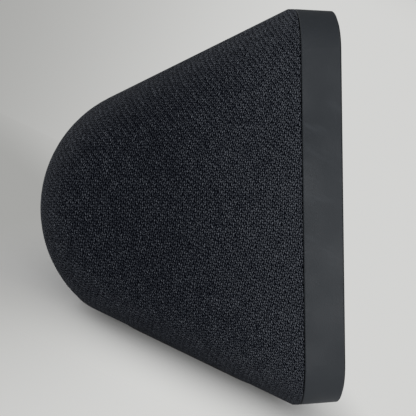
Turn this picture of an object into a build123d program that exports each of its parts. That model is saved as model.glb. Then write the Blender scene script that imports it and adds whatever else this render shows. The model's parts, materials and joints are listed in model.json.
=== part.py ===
from build123d import *
import math
import os

# Smart speaker: a wedge with a glass front that leans back, a moulded bezel round the glass, a knitted cover
# over the back and a rubber foot under the base.
# Millimetres, +Z up, the front faces -Y, and the origin is on the table under the middle of the outside box.
# Depth is measured from the glass into the body, square to the glass. Rise is measured up the glass from its
# middle. Height, on the bezel's top and on the speaker driver, is measured outwards from the seat.

# Outside of the body
body_width = 148.0
front_height = 92.3
front_corner = 12.0
body_depth = 68.6
rear_radius = 29.1
base_cut = 0.7
kink_round = 14.0
ridge_land = 1.3
fabric_thick = 0.9
shell_wall = 2.0

# Bezel, glass and display
bezel_back = 9.0
bezel_wall = 2.4
bezel_taper = 3.5
bezel_edge_round = 0.3
seam_gap = 0.3
ledge_thick = 1.5
ledge_reach = 2.6
ledge_corner = 5.5
glass_thick = 1.1
glass_proud = 0.35
glass_rim = 0.6
glass_clearance = 0.1
glass_edge_round = 0.3
gasket_thick = 0.15
gasket_clearance = 0.3
display_margin = 5.0
display_thick = 3.2
display_drop = 1.0
display_corner = 0.8

# Inner frame behind the display
frame_gap = 0.3
frame_thick = 1.5
frame_clearance = 0.3
skirt_wall = 1.2
skirt_gap = 0.1
snap_length = 10.0
snap_reach = 0.6
snap_thick = 1.0
snap_clearance = 0.2
snap_rise = 12.0
snap_spread = 36.0
frame_screw_inset = 6.8
frame_screw_drop = 23.0
housing_post_radius = 2.6
housing_post_length = 14.0
housing_web = 2.6

# Buttons in the bezel's top
button_length = 11.0
button_width = 3.4
button_proud = 0.6
button_pitch = 16.0
button_depth = 5.2
button_travel = 0.5
button_clearance = 0.15
button_dish = 0.15
flange_reach = 0.35
flange_thick = 1.0
flange_gap = 0.1
press_spare = 0.4
plunger_radius = 0.9
plunger_length = 1.8
plunger_clearance = 0.1
switch_size = 4.2
switch_height = 2.2
button_board_length = 90.0
button_board_width = 5.0
button_board_thick = 1.0
button_board_shift = 0.3
shelf_thick = 1.2
mic_spread = 31.0
mic_length = 3.6
mic_width = 2.7
mic_height = 1.0
mic_hole_radius = 0.6
mic_seal_radius = 1.8

# Camera and its shutter
camera_side = 8.0
camera_drop = 2.8
camera_size = 5.2
camera_near = 3.6
camera_length = 4.0
camera_clearance = 0.1
lens_radius = 1.45
lens_length = 1.5
lens_crown = 0.15
knob_length = 5.0
knob_width = 2.0
knob_proud = 0.9
knob_before = 11.5
knob_ribs = 3
knob_rib_pitch = 1.3
knob_rib_width = 0.5
knob_rib_height = 0.2
shutter_travel = 6.0
shutter_clearance = 0.15
carriage_margin = 3.2
carriage_reach = 4.0
blade_thick = 0.4
blade_width = 6.0
blade_gap = 0.2
blade_overlap = 0.4

# Base and foot
foot_side = 13.0
foot_length = 42.0
foot_corner = 8.0
foot_proud = 1.0
foot_edge_round = 0.5
foot_clearance = 0.3
plate_margin = 2.0
plate_thick = 2.0
plate_clearance = 0.15
ledge_ring_out = 3.0
ledge_ring_in = 8.0
ledge_ring_thick = 1.5
base_screw_inset = 4.0
base_boss_radius = 3.0
base_boss_length = 5.0

# Ports in the back
port_height = 17.4
port_pitch = 13.0
panel_width = 40.0
panel_height = 9.6
panel_corner = 3.0
panel_wall = 1.2
panel_back = 1.6
panel_recess = 7.5
panel_clearance = 0.1
nose_clearance = 0.1
power_bore = 2.1
power_bore_depth = 9.5
power_nose = 3.4
power_body_width = 8.6
power_body_length = 11.5
power_pin_radius = 0.8
power_pin_inset = 1.0
audio_bore = 1.8
audio_bore_depth = 13.0
audio_nose = 2.9
audio_body_width = 6.4
audio_body_length = 12.5
jack_above = 4.2
jack_below = 4.4
usb_width = 7.6
usb_height = 2.9
usb_corner = 0.9
usb_wall = 0.3
usb_length = 6.0
usb_back = 0.8
tongue_width = 4.6
tongue_thick = 0.7
tongue_inset = 1.2
port_board_thick = 1.2
port_board_front = 13.6
port_board_length = 11.0
port_board_left = 24.0
port_board_right = 37.0
port_post_radius = 2.2
port_post_inset = 3.0
port_post_spread = 22.0

# Speaker driver under the upper slope
driver_along = 31.5
driver_pad = 1.7
driver_size = 44.0
driver_corner = 8.0
driver_pad_margin = 1.0
driver_rim = 3.4
driver_gasket_thick = 0.5
driver_flange_thick = 1.5
driver_screw_inset = 4.5
driver_screw_depth = 2.8
surround_seat = 1.0
surround_rebate = 1.0
surround_lip_thick = 0.4
surround_lip_clearance = 0.1
surround_roll = 1.0
surround_wall = 0.4
surround_gap = 0.3
surround_width = 3.0
cone_front = -2.4
cone_thick = 0.5
cone_travel = 1.5
coil_radius = 6.2
coil_wall = 0.3
coil_top = -5.5
coil_spare = 0.5
coil_gap = 0.4
pole_gap = 0.3
dome_rise = 2.0
dome_thick = 0.3
spider_thick = 0.4
spider_seat = -7.8
spider_ledge = 1.0
spider_width = 6.2
spider_wave = 0.35
spider_folds = 3
basket_wall = 1.2
basket_floor = -10.0
basket_floor_thick = 1.2
basket_window_width = 9.0
basket_window_sill = 1.6
plate_radius = 13.0
top_plate_thick = 2.0
magnet_radius = 13.5
magnet_bore = 8.0
magnet_thick = 4.0
yoke_thick = 1.5
terminal_length = 7.0
terminal_width = 3.0
terminal_drop = 2.0
grille_margin = 1.6
grille_slot = 2.2
grille_share = 0.78
grille_rows = 7

# Main board and what is on it
board_side = 19.6
board_margin = 14.0
board_rise = -4.0
board_thick = 1.2
board_corner = 2.0
standoff_length = 3.0
standoff_radius = 2.4
board_screw_inset = 4.0
connector_thick = 1.4
connector_height = 4.0
connector_edge = 1.5
connector_margin = 1.2
flex_thick = 0.3
display_flex_width = 22.0
display_flex_depth = 3.6
display_flex_drop = 2.4
button_flex_width = 10.0
button_flex_x = -30.0
port_cable_width = 10.0
port_cable_x = 30.0
flex_bend = 1.2
speaker_plug_inset = 12.0
speaker_plug_rise = 8.0
speaker_plug_width = 6.0
lead_radius = 0.5
lead_spread = 1.4
lead_drop = 5.0
lead_run = 6.0
lead_bend = 4.0
camera_flex_width = 4.0
camera_flex_rise = 10.0
camera_plug_inset = 10.0
camera_plug_width = 6.0
can_x = -14.0
can_rise = -2.0
can_width = 40.0
can_height = 28.0
can_thick = 2.2
can_wall = 0.3
processor_x = -20.0
processor_size = 14.0
processor_thick = 1.2
memory_x = -3.0
memory_width = 9.0
memory_height = 11.0
memory_thick = 1.0
memory_gap = 2.0
pad_thick = 0.8
pad_margin = 8.0
pad_corner = 1.0
sink_margin = 2.0
sink_thick = 1.2
fin_height = 1.5
fin_thick = 1.0
fin_pitch = 4.0
antenna_length = 26.0
antenna_width = 8.0
antenna_thick = 0.3
antenna_depth = 35.0
antenna_rise = 10.0

# Screws: head radius, head height, shank radius, shank length, and the room in their holes
screw_clearance = 0.1
frame_screw = (2.0, 1.2, 1.0, 8.0)
base_screw = (2.5, 1.1, 1.25, 5.2)
board_screw = (2.0, 1.1, 0.9, 3.4)
port_screw = (1.8, 1.0, 0.9, 4.0)
driver_screw = (1.9, 1.0, 0.9, 4.8)
screw_slot_share = 0.6
screw_slot_width = 0.5

# How far a cut reaches past the face it opens, and how close two places count as the same
over_cut = 1.0
same_place = 0.01

# Shape of the wedge: both slopes start at the ridges, the upper one runs tangent to the rear round and the
# base runs a little inside it, which also sets how far the front leans back.
seam = bezel_back + seam_gap
ridge_depth = seam + ridge_land
axis_depth = body_depth - rear_radius
floor_radius = rear_radius - base_cut
ridge_run = axis_depth - ridge_depth
ridge_reach = math.hypot(ridge_run, front_height / 2)
ridge_angle = math.atan2(front_height / 2, ridge_run)
top_slope = ridge_angle - math.asin(rear_radius / ridge_reach)
lean = ridge_angle - math.asin(floor_radius / ridge_reach)
cos_lean, sin_lean = math.cos(lean), math.sin(lean)
cos_top, sin_top = math.cos(top_slope), math.sin(top_slope)
housing_inset = fabric_thick
cavity_inset = fabric_thick + shell_wall

# Bezel and glass outlines
bezel_front = glass_proud
taper_inset = (bezel_back - bezel_front) * math.tan(math.radians(bezel_taper))
glass_inset = taper_inset + glass_rim + glass_clearance
glass_width = body_width - 2 * glass_inset
glass_height = front_height - 2 * glass_inset
glass_corner = front_corner - glass_inset
bezel_inner_width = body_width - 2 * bezel_wall
bezel_inner_height = front_height - 2 * bezel_wall
bezel_inner_corner = front_corner - bezel_wall
ledge_near = glass_thick + gasket_thick
ledge_far = ledge_near + ledge_thick
ledge_width = bezel_inner_width - 2 * ledge_reach
ledge_height = bezel_inner_height - 2 * ledge_reach
display_width = ledge_width - 2 * display_margin
display_height = ledge_height - 2 * display_margin
camera_x = ledge_width / 2 - camera_side
camera_rise = ledge_height / 2 - camera_drop
knob_x = camera_x - knob_before

# Place of the front in the object's frame, with the outside box centred on the origin
nose_reach = min(bezel_front * cos_lean - (front_height / 2 - taper_inset) * sin_lean,
                 -glass_height / 2 * sin_lean)
tail_reach = axis_depth * cos_lean + rear_radius
front_y = -(nose_reach + tail_reach) / 2
front_z = foot_proud + ridge_depth * sin_lean + front_height / 2 * cos_lean
axis_y = front_y + axis_depth * cos_lean
half_chord = math.sqrt(rear_radius ** 2 - floor_radius ** 2)
base_front = front_y + ridge_depth * cos_lean - front_height / 2 * sin_lean
base_middle = (base_front + axis_y + half_chord) / 2

FRONT = Location(Plane(origin=(0, front_y, front_z), x_dir=(1, 0, 0), z_dir=(0, -cos_lean, sin_lean)))
TOP = FRONT * Pos(0, front_height / 2, 0) * Rot(-90, 0, 0)
OUTWARD = Axis((0, 0, 0), (0, -cos_lean, sin_lean))
UPWARD = Axis((0, 0, 0), (0, sin_lean, cos_lean))

# Levels of the button stack, as heights from the bezel's top surface
flange_top = -(bezel_wall + flange_gap)
flange_bottom = flange_top - flange_thick
plunger_bottom = flange_bottom - plunger_length
switch_top = flange_bottom - button_travel - press_spare
switch_bottom = switch_top - switch_height
button_board_bottom = switch_bottom - button_board_thick
shelf_bottom = button_board_bottom - shelf_thick
button_board_depth = button_depth + button_board_shift

# Levels behind the display, as depths
frame_near = glass_thick + display_thick + frame_gap
frame_far = frame_near + frame_thick
skirt_far = seam - skirt_gap
board_near = frame_far + standoff_length
board_far = board_near + board_thick
flex_depth = board_far + connector_thick / 2
can_far = board_far + can_thick
pad_far = can_far + pad_thick
sink_far = pad_far + sink_thick
blade_near = camera_near - blade_gap - blade_thick
frame_screw_x = body_width / 2 - frame_screw_inset
frame_screw_rise = front_height / 2 - frame_screw_drop
board_width = bezel_inner_width - 2 * board_side
board_height = ledge_height - 2 * board_margin
board_screw_x = board_width / 2 - board_screw_inset
speaker_plug_x = board_width / 2 - speaker_plug_inset
camera_plug_x = board_width / 2 - camera_plug_inset
frame_top = front_height / 2 + shelf_bottom
board_top = board_rise + board_height / 2
board_low = board_rise - board_height / 2
display_low = -display_drop - display_height / 2

# Levels of the base, as heights over the table
housing_bottom = foot_proud + housing_inset
foot_width = body_width - 2 * foot_side
plate_width = foot_width - 2 * plate_margin
plate_length = foot_length - 2 * plate_margin
plate_corner = foot_corner - plate_margin
plate_top = housing_bottom + plate_thick

# Ports look straight back
panel_y = axis_y + rear_radius - panel_recess
REAR = Location(Plane(origin=(0, panel_y, port_height), x_dir=(-1, 0, 0), z_dir=(0, 1, 0)))
panel_inner_y = panel_y - panel_back
port_board_top = port_height - jack_below
port_board_y = panel_inner_y - port_board_front

# The speaker driver looks out square to the upper slope
driver_inset = cavity_inset + driver_pad
driver_depth = ridge_depth + driver_along * cos_top - driver_inset * sin_top
driver_rise = front_height / 2 - driver_along * sin_top - driver_inset * cos_top
DRIVER = FRONT * Pos(0, driver_rise, -driver_depth) * Rot(-90 - math.degrees(top_slope), 0, 0)
driver_screw_at = driver_size / 2 - driver_screw_inset
driver_opening = driver_size / 2 - driver_rim
cone_radius = driver_opening - surround_width
grille_radius = driver_opening - grille_margin
flange_back = -(driver_gasket_thick + driver_flange_thick)
surround_level = -(driver_gasket_thick + surround_rebate)
spider_radius = coil_radius + surround_gap + spider_width
magnet_top = basket_floor - top_plate_thick
yoke_top = magnet_top - magnet_thick
coil_bottom = yoke_top + cone_travel + coil_spare


def place(depth, rise):
    """A point of the middle plane, from its depth and rise."""
    return (0, front_y + depth * cos_lean + rise * sin_lean, front_z - depth * sin_lean + rise * cos_lean)


def depth_of(point):
    """How deep a point lies behind the glass."""
    return (point.Y - front_y) * cos_lean - (point.Z - front_z) * sin_lean


def slab(width, height, corner, near, far, x=0.0, rise=0.0, taper=0.0):
    """A rounded plate parallel to the glass, between two depths."""
    plate = extrude(RectangleRounded(width, height, corner), far - near, taper=taper)
    return FRONT * Pos(x, rise, -far) * plate


def block(x, rise, near, far):
    """A square-edged block from x and rise ranges, between two depths."""
    middle = Pos((x[0] + x[1]) / 2, (rise[0] + rise[1]) / 2, -(near + far) / 2)
    return FRONT * middle * Box(x[1] - x[0], rise[1] - rise[0], far - near)


def post(x, rise, radius, near, far):
    """A round post square to the glass, between two depths."""
    return FRONT * Pos(x, rise, -(near + far) / 2) * Cylinder(radius, far - near)


def key(length, width, x, low, high):
    """A round-ended key on the bezel's top, between two heights."""
    return TOP * Pos(x, button_depth, low) * extrude(SlotOverall(length, width), high - low)


def top_block(x, length, depth, width, low, high):
    """A square-edged block on the bezel's top, between two heights."""
    return TOP * Pos(x, depth, (low + high) / 2) * Box(length, width, high - low)


def top_round(x, depth, radius, low, high):
    """A round piece on the bezel's top, between two heights."""
    return TOP * Pos(x, depth, (low + high) / 2) * Cylinder(radius, high - low)


def level(width, length, corner, low, high, y=None):
    """A rounded plate parallel to the table, over the middle of the base."""
    middle = base_middle if y is None else y
    return Pos(0, middle, low) * extrude(RectangleRounded(width, length, corner), high - low)


def rear_slab(width, height, corner, near, far, x=0.0):
    """A rounded plate square to the ports, between two distances behind the panel's face."""
    return REAR * Pos(x, 0, -far) * extrude(RectangleRounded(width, height, corner), far - near)


def rear_block(x, width, low, high, near, far):
    """A square-edged block among the ports, with heights from the ports' axis."""
    return REAR * Pos(x, (low + high) / 2, -(near + far) / 2) * Box(width, high - low, far - near)


def rear_round(x, radius, near, far):
    """A round piece on a port's axis."""
    return REAR * Pos(x, 0, -(near + far) / 2) * Cylinder(radius, far - near)


def turned(points):
    """A ring turned about the driver's axis from a closed outline of radius and height."""
    outline = Polyline([(radius, 0, height) for radius, height in points], close=True)
    return DRIVER * revolve(make_face(outline), Axis.Z)


def ring(inner, outer, low, high):
    """A flat ring on the driver's axis."""
    return turned([(inner, low), (outer, low), (outer, high), (inner, high)])


def flat_cable(points, x, width):
    """A flat cable that follows points of the middle plane, moved sideways to x."""
    path = FilletPolyline(*[place(*point) for point in points], radius=flex_bend)
    start = Plane(origin=path @ 0, x_dir=(1, 0, 0), z_dir=path % 0)
    return Pos(x, 0, 0) * sweep(start * Rectangle(width, flex_thick), path)


def screw(seat, size):
    """A cross-slotted screw whose head stands out along the seat's axis."""
    head_radius, head_height, shank_radius, shank_length = size
    head = Pos(0, 0, head_height / 2) * Cylinder(head_radius, head_height)
    shank = Pos(0, 0, -shank_length / 2) * Cylinder(shank_radius, shank_length)
    slot_length = 2 * head_radius * screw_slot_share
    slot = Pos(0, 0, head_height) * Box(slot_length, screw_slot_width, head_height)
    cross = slot + Pos(0, 0, head_height) * Box(screw_slot_width, slot_length, head_height)
    return seat * (head + shank - cross)


def group(pieces):
    """Separate solids that share one node."""
    return Compound([piece.solid() for piece in pieces])


def wedge(inset, front=seam):
    """The body's wedge, drawn in by an inset all round and cut square at a depth in front."""
    radius = rear_radius - inset
    floor = floor_radius - inset
    top_ridge = (radius + (axis_depth - front) * sin_top) / cos_top
    low_ridge = -(floor + (axis_depth - front) * sin_lean) / cos_lean
    chord = math.sqrt(radius ** 2 - floor ** 2)
    tangent = (axis_depth + radius * sin_top, radius * cos_top)
    kink = (axis_depth + floor * sin_lean + chord * cos_lean, chord * sin_lean - floor * cos_lean)
    turn = (math.atan2(tangent[1], tangent[0] - axis_depth) + math.atan2(kink[1], kink[0] - axis_depth)) / 2
    apex = (axis_depth + radius * math.cos(turn), radius * math.sin(turn))
    corners = [place(*point) for point in ((front, top_ridge), tangent, apex, kink, (front, low_ridge))]
    sides = [Line(corners[0], corners[1]), ThreePointArc(*corners[1:4]), Line(corners[3], corners[4]),
             Line(corners[4], corners[0])]
    width = body_width - 2 * inset
    prism = extrude(make_face(sides), amount=width / 2, both=True)
    kink_edge = prism.edges().sort_by_distance(place(*kink))[0]
    prism = fillet(kink_edge, kink_round)
    corner = front_corner - inset
    body = fillet(rim_of(prism, width, front), corner)
    return body & slab(width, front_height - 2 * inset, corner, front, 2 * body_depth)


def rim_of(prism, width, front):
    """The edges where the slopes and the rear round meet the two sides."""
    rim = []
    for edge in prism.edges():
        at_side = abs(abs(edge.center().X) - width / 2) < same_place
        if at_side and depth_of(edge.center()) > front + same_place:
            rim.append(edge)
    return rim


def snap_blocks(grow):
    """The bezel's snap hooks, or with room round them the frame's windows for the hooks."""
    middle = (frame_far + skirt_far) / 2
    near, far = middle - snap_thick / 2 - grow, middle + snap_thick / 2 + grow
    half = snap_length / 2 + grow
    side = (bezel_inner_width / 2 - snap_reach - grow, bezel_inner_width / 2 + snap_reach)
    low = (-bezel_inner_height / 2 - snap_reach, -bezel_inner_height / 2 + snap_reach + grow)
    hooks = []
    for sign in (-1, 1):
        across = sorted(sign * value for value in side)
        hooks.append(block(across, (snap_rise - half, snap_rise + half), near, far))
        hooks.append(block(across, (-snap_rise - half, -snap_rise + half), near, far))
        along = (sign * snap_spread - half, sign * snap_spread + half)
        hooks.append(block(along, low, near, far))
    return hooks


def button_places():
    """Where the three buttons stand across the top."""
    return {"mute": -button_pitch, "volume_down": 0.0, "volume_up": button_pitch}


def front_bezel():
    """The moulded frame round the glass, with its ledge, top slots and snap hooks."""
    body = slab(body_width, front_height, front_corner, bezel_front, bezel_back, taper=bezel_taper)
    faces = body.faces().sort_by(OUTWARD)
    body = fillet(faces[0].edges() + faces[-1].edges(), bezel_edge_round)
    room = 2 * glass_clearance
    corner = glass_corner + glass_clearance
    body -= slab(glass_width + room, glass_height + room, corner, -over_cut, ledge_near)
    body -= slab(ledge_width, ledge_height, ledge_corner, 0, bezel_back)
    body -= slab(bezel_inner_width, bezel_inner_height, bezel_inner_corner, ledge_far, bezel_back)
    for hook in snap_blocks(0.0):
        body += hook
    room = 2 * button_clearance
    for x in button_places().values():
        body -= key(button_length + room, button_width + room, x, flange_top, over_cut)
    slot = knob_length + shutter_travel + 2 * shutter_clearance
    body -= key(slot, knob_width + 2 * shutter_clearance, knob_x + shutter_travel / 2, flange_top, over_cut)
    for sign in (-1, 1):
        body -= top_round(sign * mic_spread, button_depth, mic_hole_radius, flange_top, over_cut)
    return body


def cover_glass():
    """The front glass, with its outer edge rounded."""
    glass = slab(glass_width, glass_height, glass_corner, 0, glass_thick)
    front_face = glass.faces().sort_by(OUTWARD)[-1]
    return fillet(front_face.edges(), glass_edge_round)


def display_gasket():
    """The adhesive frame between the glass and the bezel's ledge."""
    inset = 2 * gasket_clearance
    corner = glass_corner - gasket_clearance
    outer = slab(glass_width - inset, glass_height - inset, corner, glass_thick, ledge_near)
    return outer - slab(ledge_width, ledge_height, ledge_corner, 0, ledge_far)


def display_panel():
    """The display module, bonded to the back of the glass."""
    return slab(display_width, display_height, display_corner, glass_thick, glass_thick + display_thick,
                rise=-display_drop)


def inner_frame():
    """The frame behind the display that carries the boards, with a skirt that backs the seam."""
    width = bezel_inner_width - 2 * frame_clearance
    height = bezel_inner_height - 2 * frame_clearance
    corner = bezel_inner_corner - frame_clearance
    body = slab(width, height, corner, frame_near, skirt_far)
    body -= slab(width - 2 * skirt_wall, height - 2 * skirt_wall, corner - skirt_wall, frame_far, skirt_far)
    top_near = button_depth + button_width / 2 + 2 * flange_reach + screw_clearance
    body -= block((-width / 2, width / 2), (frame_top, front_height / 2), frame_near - over_cut, top_near)
    body += top_block(0, button_board_length, (frame_near + button_board_far()) / 2,
                      button_board_far() - frame_near, shelf_bottom, button_board_bottom)
    room = camera_size / 2 + camera_clearance
    body -= block((camera_x - room, camera_x + room), (camera_rise - room, front_height / 2), 0, top_near)
    body += camera_seat()
    for x, rise in board_screw_places():
        body += post(x, rise, standoff_radius, frame_far, board_near)
        body -= post(x, rise, board_screw[2] + screw_clearance, frame_near, board_near)
    for x, rise in frame_screw_places():
        body -= post(x, rise, frame_screw[2] + screw_clearance, frame_near, frame_far)
    slot = display_flex_width / 2 + 2 * flex_bend
    drop = display_low - display_flex_drop
    body -= block((-slot, slot), (drop - flex_bend, drop + flex_bend), frame_near, frame_far)
    for window in snap_blocks(snap_clearance):
        body -= window
    return body


def camera_seat():
    """The bracket that holds the camera from behind."""
    room = camera_size / 2 + camera_clearance
    camera_far = camera_near + camera_length
    span = (camera_x - room, camera_x + room)
    floor = (camera_rise - room - shelf_thick, camera_rise - room)
    reach = camera_flex_width / 2 + camera_clearance
    seat = block(span, floor, frame_near, camera_far + frame_thick)
    seat += block(span, (floor[0], camera_rise), camera_far, camera_far + frame_thick)
    return seat - block((camera_x - reach, camera_x + reach), floor, frame_far, frame_far + 2 * flex_thick)


def button_board_far():
    """The depth where the button board ends."""
    return button_board_depth + button_board_width / 2


def board_screw_places():
    """Where the main board is screwed to the inner frame."""
    rises = (board_top - board_screw_inset, board_low + board_screw_inset)
    return [(sign * board_screw_x, rise) for sign in (-1, 1) for rise in rises]


def frame_screw_places():
    """Where the inner frame is screwed to the housing's posts."""
    return [(sign * frame_screw_x, tall * frame_screw_rise) for sign in (-1, 1) for tall in (-1, 1)]


def button(x):
    """A button cap with its inner flange and a shallow dish on top."""
    cap = key(button_length, button_width, x, flange_top, button_proud)
    cap = fillet(cap.faces().sort_by(UPWARD)[-1].edges(), button_dish)
    grow = 2 * flange_reach
    return cap + key(button_length + grow, button_width + grow, x, flange_bottom, flange_top)


def plunger(x):
    """The stem of a switch, which the button pushes."""
    return top_round(x, button_depth, plunger_radius, plunger_bottom, flange_bottom)


def button_switch(x):
    """A switch body with the bore that its stem slides in."""
    body = top_block(x, switch_size, button_depth, switch_size, switch_bottom, switch_top)
    bore_bottom = plunger_bottom - button_travel - 2 * plunger_clearance
    return body - top_round(x, button_depth, plunger_radius + plunger_clearance, bore_bottom, switch_top)


def button_board():
    """The strip board under the buttons."""
    return top_block(0, button_board_length, button_board_depth, button_board_width, button_board_bottom,
                     switch_bottom)


def microphone(x):
    """A microphone on the button board, with its sound port."""
    top = switch_bottom + mic_height
    body = top_block(x, mic_length, button_depth, mic_width, switch_bottom, top)
    return body - top_round(x, button_depth, mic_hole_radius, top - mic_height / 2, top)


def microphone_seal(x):
    """The rubber tube from a microphone to its hole in the bezel."""
    low, high = switch_bottom + mic_height, -bezel_wall
    tube = top_round(x, button_depth, mic_seal_radius, low, high)
    return tube - top_round(x, button_depth, mic_hole_radius, low, high)


def camera_module():
    """The camera's body, with the seat of its lens."""
    half = camera_size / 2
    body = block((camera_x - half, camera_x + half), (camera_rise - half, camera_rise + half),
                 camera_near, camera_near + camera_length)
    return body - post(camera_x, camera_rise, lens_radius, camera_near, camera_near + lens_length)


def camera_lens():
    """The lens, with a slightly crowned front."""
    stack = post(camera_x, camera_rise, lens_radius, camera_near, camera_near + lens_length)
    front_edge = stack.edges().sort_by(OUTWARD)[-1]
    return fillet(front_edge, lens_crown)


def shutter_knob():
    """The finger knob of the shutter, with grip ribs, on the carriage that slides under the bezel's top."""
    knob = key(knob_length, knob_width, knob_x, flange_top, knob_proud)
    middle = (knob_ribs - 1) / 2
    for rib in range(knob_ribs):
        knob += top_block(knob_x + (rib - middle) * knob_rib_pitch, knob_rib_width, button_depth,
                          knob_width - 2 * knob_rib_width, knob_proud, knob_proud + knob_rib_height)
    near = blade_near
    far = button_depth + knob_width / 2 + flange_reach
    left = knob_x - carriage_margin
    right = knob_x + carriage_margin + carriage_reach
    middle_x, middle_depth = (left + right) / 2, (near + far) / 2
    return knob + top_block(middle_x, right - left, middle_depth, far - near, flange_bottom, flange_top)


def shutter_blade():
    """The thin blade that hangs from the carriage and covers the lens."""
    right = camera_x - lens_radius - blade_overlap
    top = front_height / 2 + flange_bottom
    low = camera_rise - lens_radius - blade_overlap
    return block((right - blade_width, right), (low, top), blade_near, blade_near + blade_thick)


def fabric_cover():
    """The knitted cover, open at the seam, round the foot and round the ports."""
    cover = wedge(0.0) - wedge(housing_inset)
    room = 2 * foot_clearance
    cover -= level(foot_width + room, foot_length + room, foot_corner + foot_clearance, 0, housing_bottom)
    return cover - port_opening()


def port_opening():
    """The opening for the port panel."""
    room = 2 * panel_clearance
    return rear_slab(panel_width + room, panel_height + room, panel_corner + panel_clearance,
                     -rear_radius, panel_back)


def rear_housing():
    """The moulded back shell with its posts, base ledge, speaker seat and grille."""
    inside = wedge(cavity_inset, seam - over_cut)
    shell = wedge(housing_inset) - inside
    core = wedge(housing_inset + shell_wall / 2)
    shell += base_ledge() & core
    shell += driver_seat() & core
    shell -= level(plate_width + 2 * plate_clearance, plate_length + 2 * plate_clearance,
                   plate_corner + plate_clearance, 0, plate_top)
    for x, y in base_screw_places():
        middle = Pos(x, y, plate_top + base_boss_length / 2)
        shell += middle * Cylinder(base_boss_radius, base_boss_length)
        shell -= middle * Cylinder(base_screw[2] + screw_clearance, base_boss_length)
    shell -= port_opening()
    for x, y in port_screw_places():
        tall = port_board_top - port_board_thick - housing_bottom
        column = Pos(x, y, housing_bottom + tall / 2) * Cylinder(port_post_radius, tall)
        shell += column & core
        hole = port_screw[3]
        shell -= Pos(x, y, housing_bottom + tall - hole / 2) * Cylinder(port_screw[2] + screw_clearance, hole)
    for slot in grille_slots():
        shell -= slot
    for x in (-driver_screw_at, driver_screw_at):
        for y in (-driver_screw_at, driver_screw_at):
            hole = DRIVER * Pos(x, y, driver_screw_depth / 2)
            shell -= hole * Cylinder(driver_screw[2] + screw_clearance, driver_screw_depth + screw_clearance)
    screw_end = frame_near + frame_screw[3]
    for x, rise in frame_screw_places():
        shell += frame_post(x, rise)
        shell -= post(x, rise, frame_screw[2] + screw_clearance, frame_far - over_cut, screw_end)
    return shell


def frame_post(x, rise):
    """A post for a frame screw, with the web that ties it to the housing's side."""
    far = frame_far + housing_post_length
    side = body_width / 2 - cavity_inset + shell_wall / 2
    across = sorted((x, math.copysign(side, x)))
    web = block(across, (rise - housing_web / 2, rise + housing_web / 2), seam + skirt_gap, far)
    return post(x, rise, housing_post_radius, frame_far, far) + web


def base_ledge():
    """The ledge over the base plate that its screws pull against."""
    grow = 2 * ledge_ring_out
    cut = 2 * ledge_ring_in
    corner = plate_corner + ledge_ring_out
    high = plate_top + ledge_ring_thick
    outer = level(plate_width + grow, plate_length + grow, corner, housing_bottom, high)
    return outer - level(plate_width - cut, plate_length - cut, plate_corner / 2, 0, high)


def base_screw_places():
    """Where the base plate is screwed up into the housing."""
    across = plate_width / 2 - base_screw_inset
    along = plate_length / 2 - base_screw_inset
    return [(x, base_middle + y) for x in (-across, across) for y in (-along, along)]


def base_plate():
    """The plate that closes the base, with sunk holes for its screws."""
    plate = level(plate_width, plate_length, plate_corner, housing_bottom, plate_top)
    for x, y in base_screw_places():
        plate -= Pos(x, y, housing_bottom) * Cylinder(base_screw[2] + screw_clearance, 4 * plate_thick)
        sunk = base_screw[1] + 2 * screw_clearance
        plate -= Pos(x, y, housing_bottom + sunk / 2) * Cylinder(base_screw[0] + 2 * screw_clearance, sunk)
    return plate


def foot_pad():
    """The rubber foot stuck under the base plate."""
    pad = level(foot_width, foot_length, foot_corner, 0, housing_bottom)
    return fillet(pad.faces().sort_by(Axis.Z)[0].edges(), foot_edge_round)


def port_panel():
    """The recessed tray round the ports, trimmed flush with the cover."""
    tray = rear_slab(panel_width, panel_height, panel_corner, -rear_radius, panel_back)
    wall = 2 * panel_wall
    tray -= rear_slab(panel_width - wall, panel_height - wall, panel_corner - panel_wall, -rear_radius, 0)
    tray -= rear_round(port_pitch, power_nose + nose_clearance, 0, panel_back)
    tray -= rear_round(-port_pitch, audio_nose + nose_clearance, 0, panel_back)
    room = 2 * nose_clearance
    tray -= rear_slab(usb_width + room, usb_height + room, usb_corner + nose_clearance, 0, panel_back)
    return tray & wedge(0.0)


def power_jack():
    """The power jack: a body on the board and a round nose in the panel."""
    body = rear_block(port_pitch, power_body_width, -jack_below, jack_above, panel_back,
                      panel_back + power_body_length)
    body += rear_round(port_pitch, power_nose, 0, panel_back)
    return body - rear_round(port_pitch, power_bore, 0, power_bore_depth)


def power_pin():
    """The contact pin in the middle of the power jack."""
    pin = rear_round(port_pitch, power_pin_radius, power_pin_inset, power_bore_depth)
    return fillet(pin.edges().sort_by(Axis.Y)[-1], power_pin_radius / 2)


def audio_jack():
    """The audio jack: a body on the board and a round nose in the panel."""
    body = rear_block(-port_pitch, audio_body_width, -jack_below, audio_nose, panel_back,
                      panel_back + audio_body_length)
    body += rear_round(-port_pitch, audio_nose, 0, panel_back)
    return body - rear_round(-port_pitch, audio_bore, 0, audio_bore_depth)


def usb_socket():
    """The service socket: a thin shell with its contact tongue, on a riser from the board."""
    shell = rear_slab(usb_width, usb_height, usb_corner, 0, usb_length + usb_back)
    wall = 2 * usb_wall
    shell -= rear_slab(usb_width - wall, usb_height - wall, usb_corner - usb_wall, 0, usb_length)
    shell += rear_block(0, tongue_width, -tongue_thick / 2, tongue_thick / 2, tongue_inset,
                        usb_length + usb_back / 2)
    riser_top = -usb_height / 2 + usb_wall
    riser = rear_block(0, usb_width - 2 * usb_corner, -jack_below, riser_top, panel_back, usb_length)
    return shell + riser - rear_slab(usb_width - wall, usb_height - wall, usb_corner - usb_wall, 0,
                                     tongue_inset)


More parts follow.
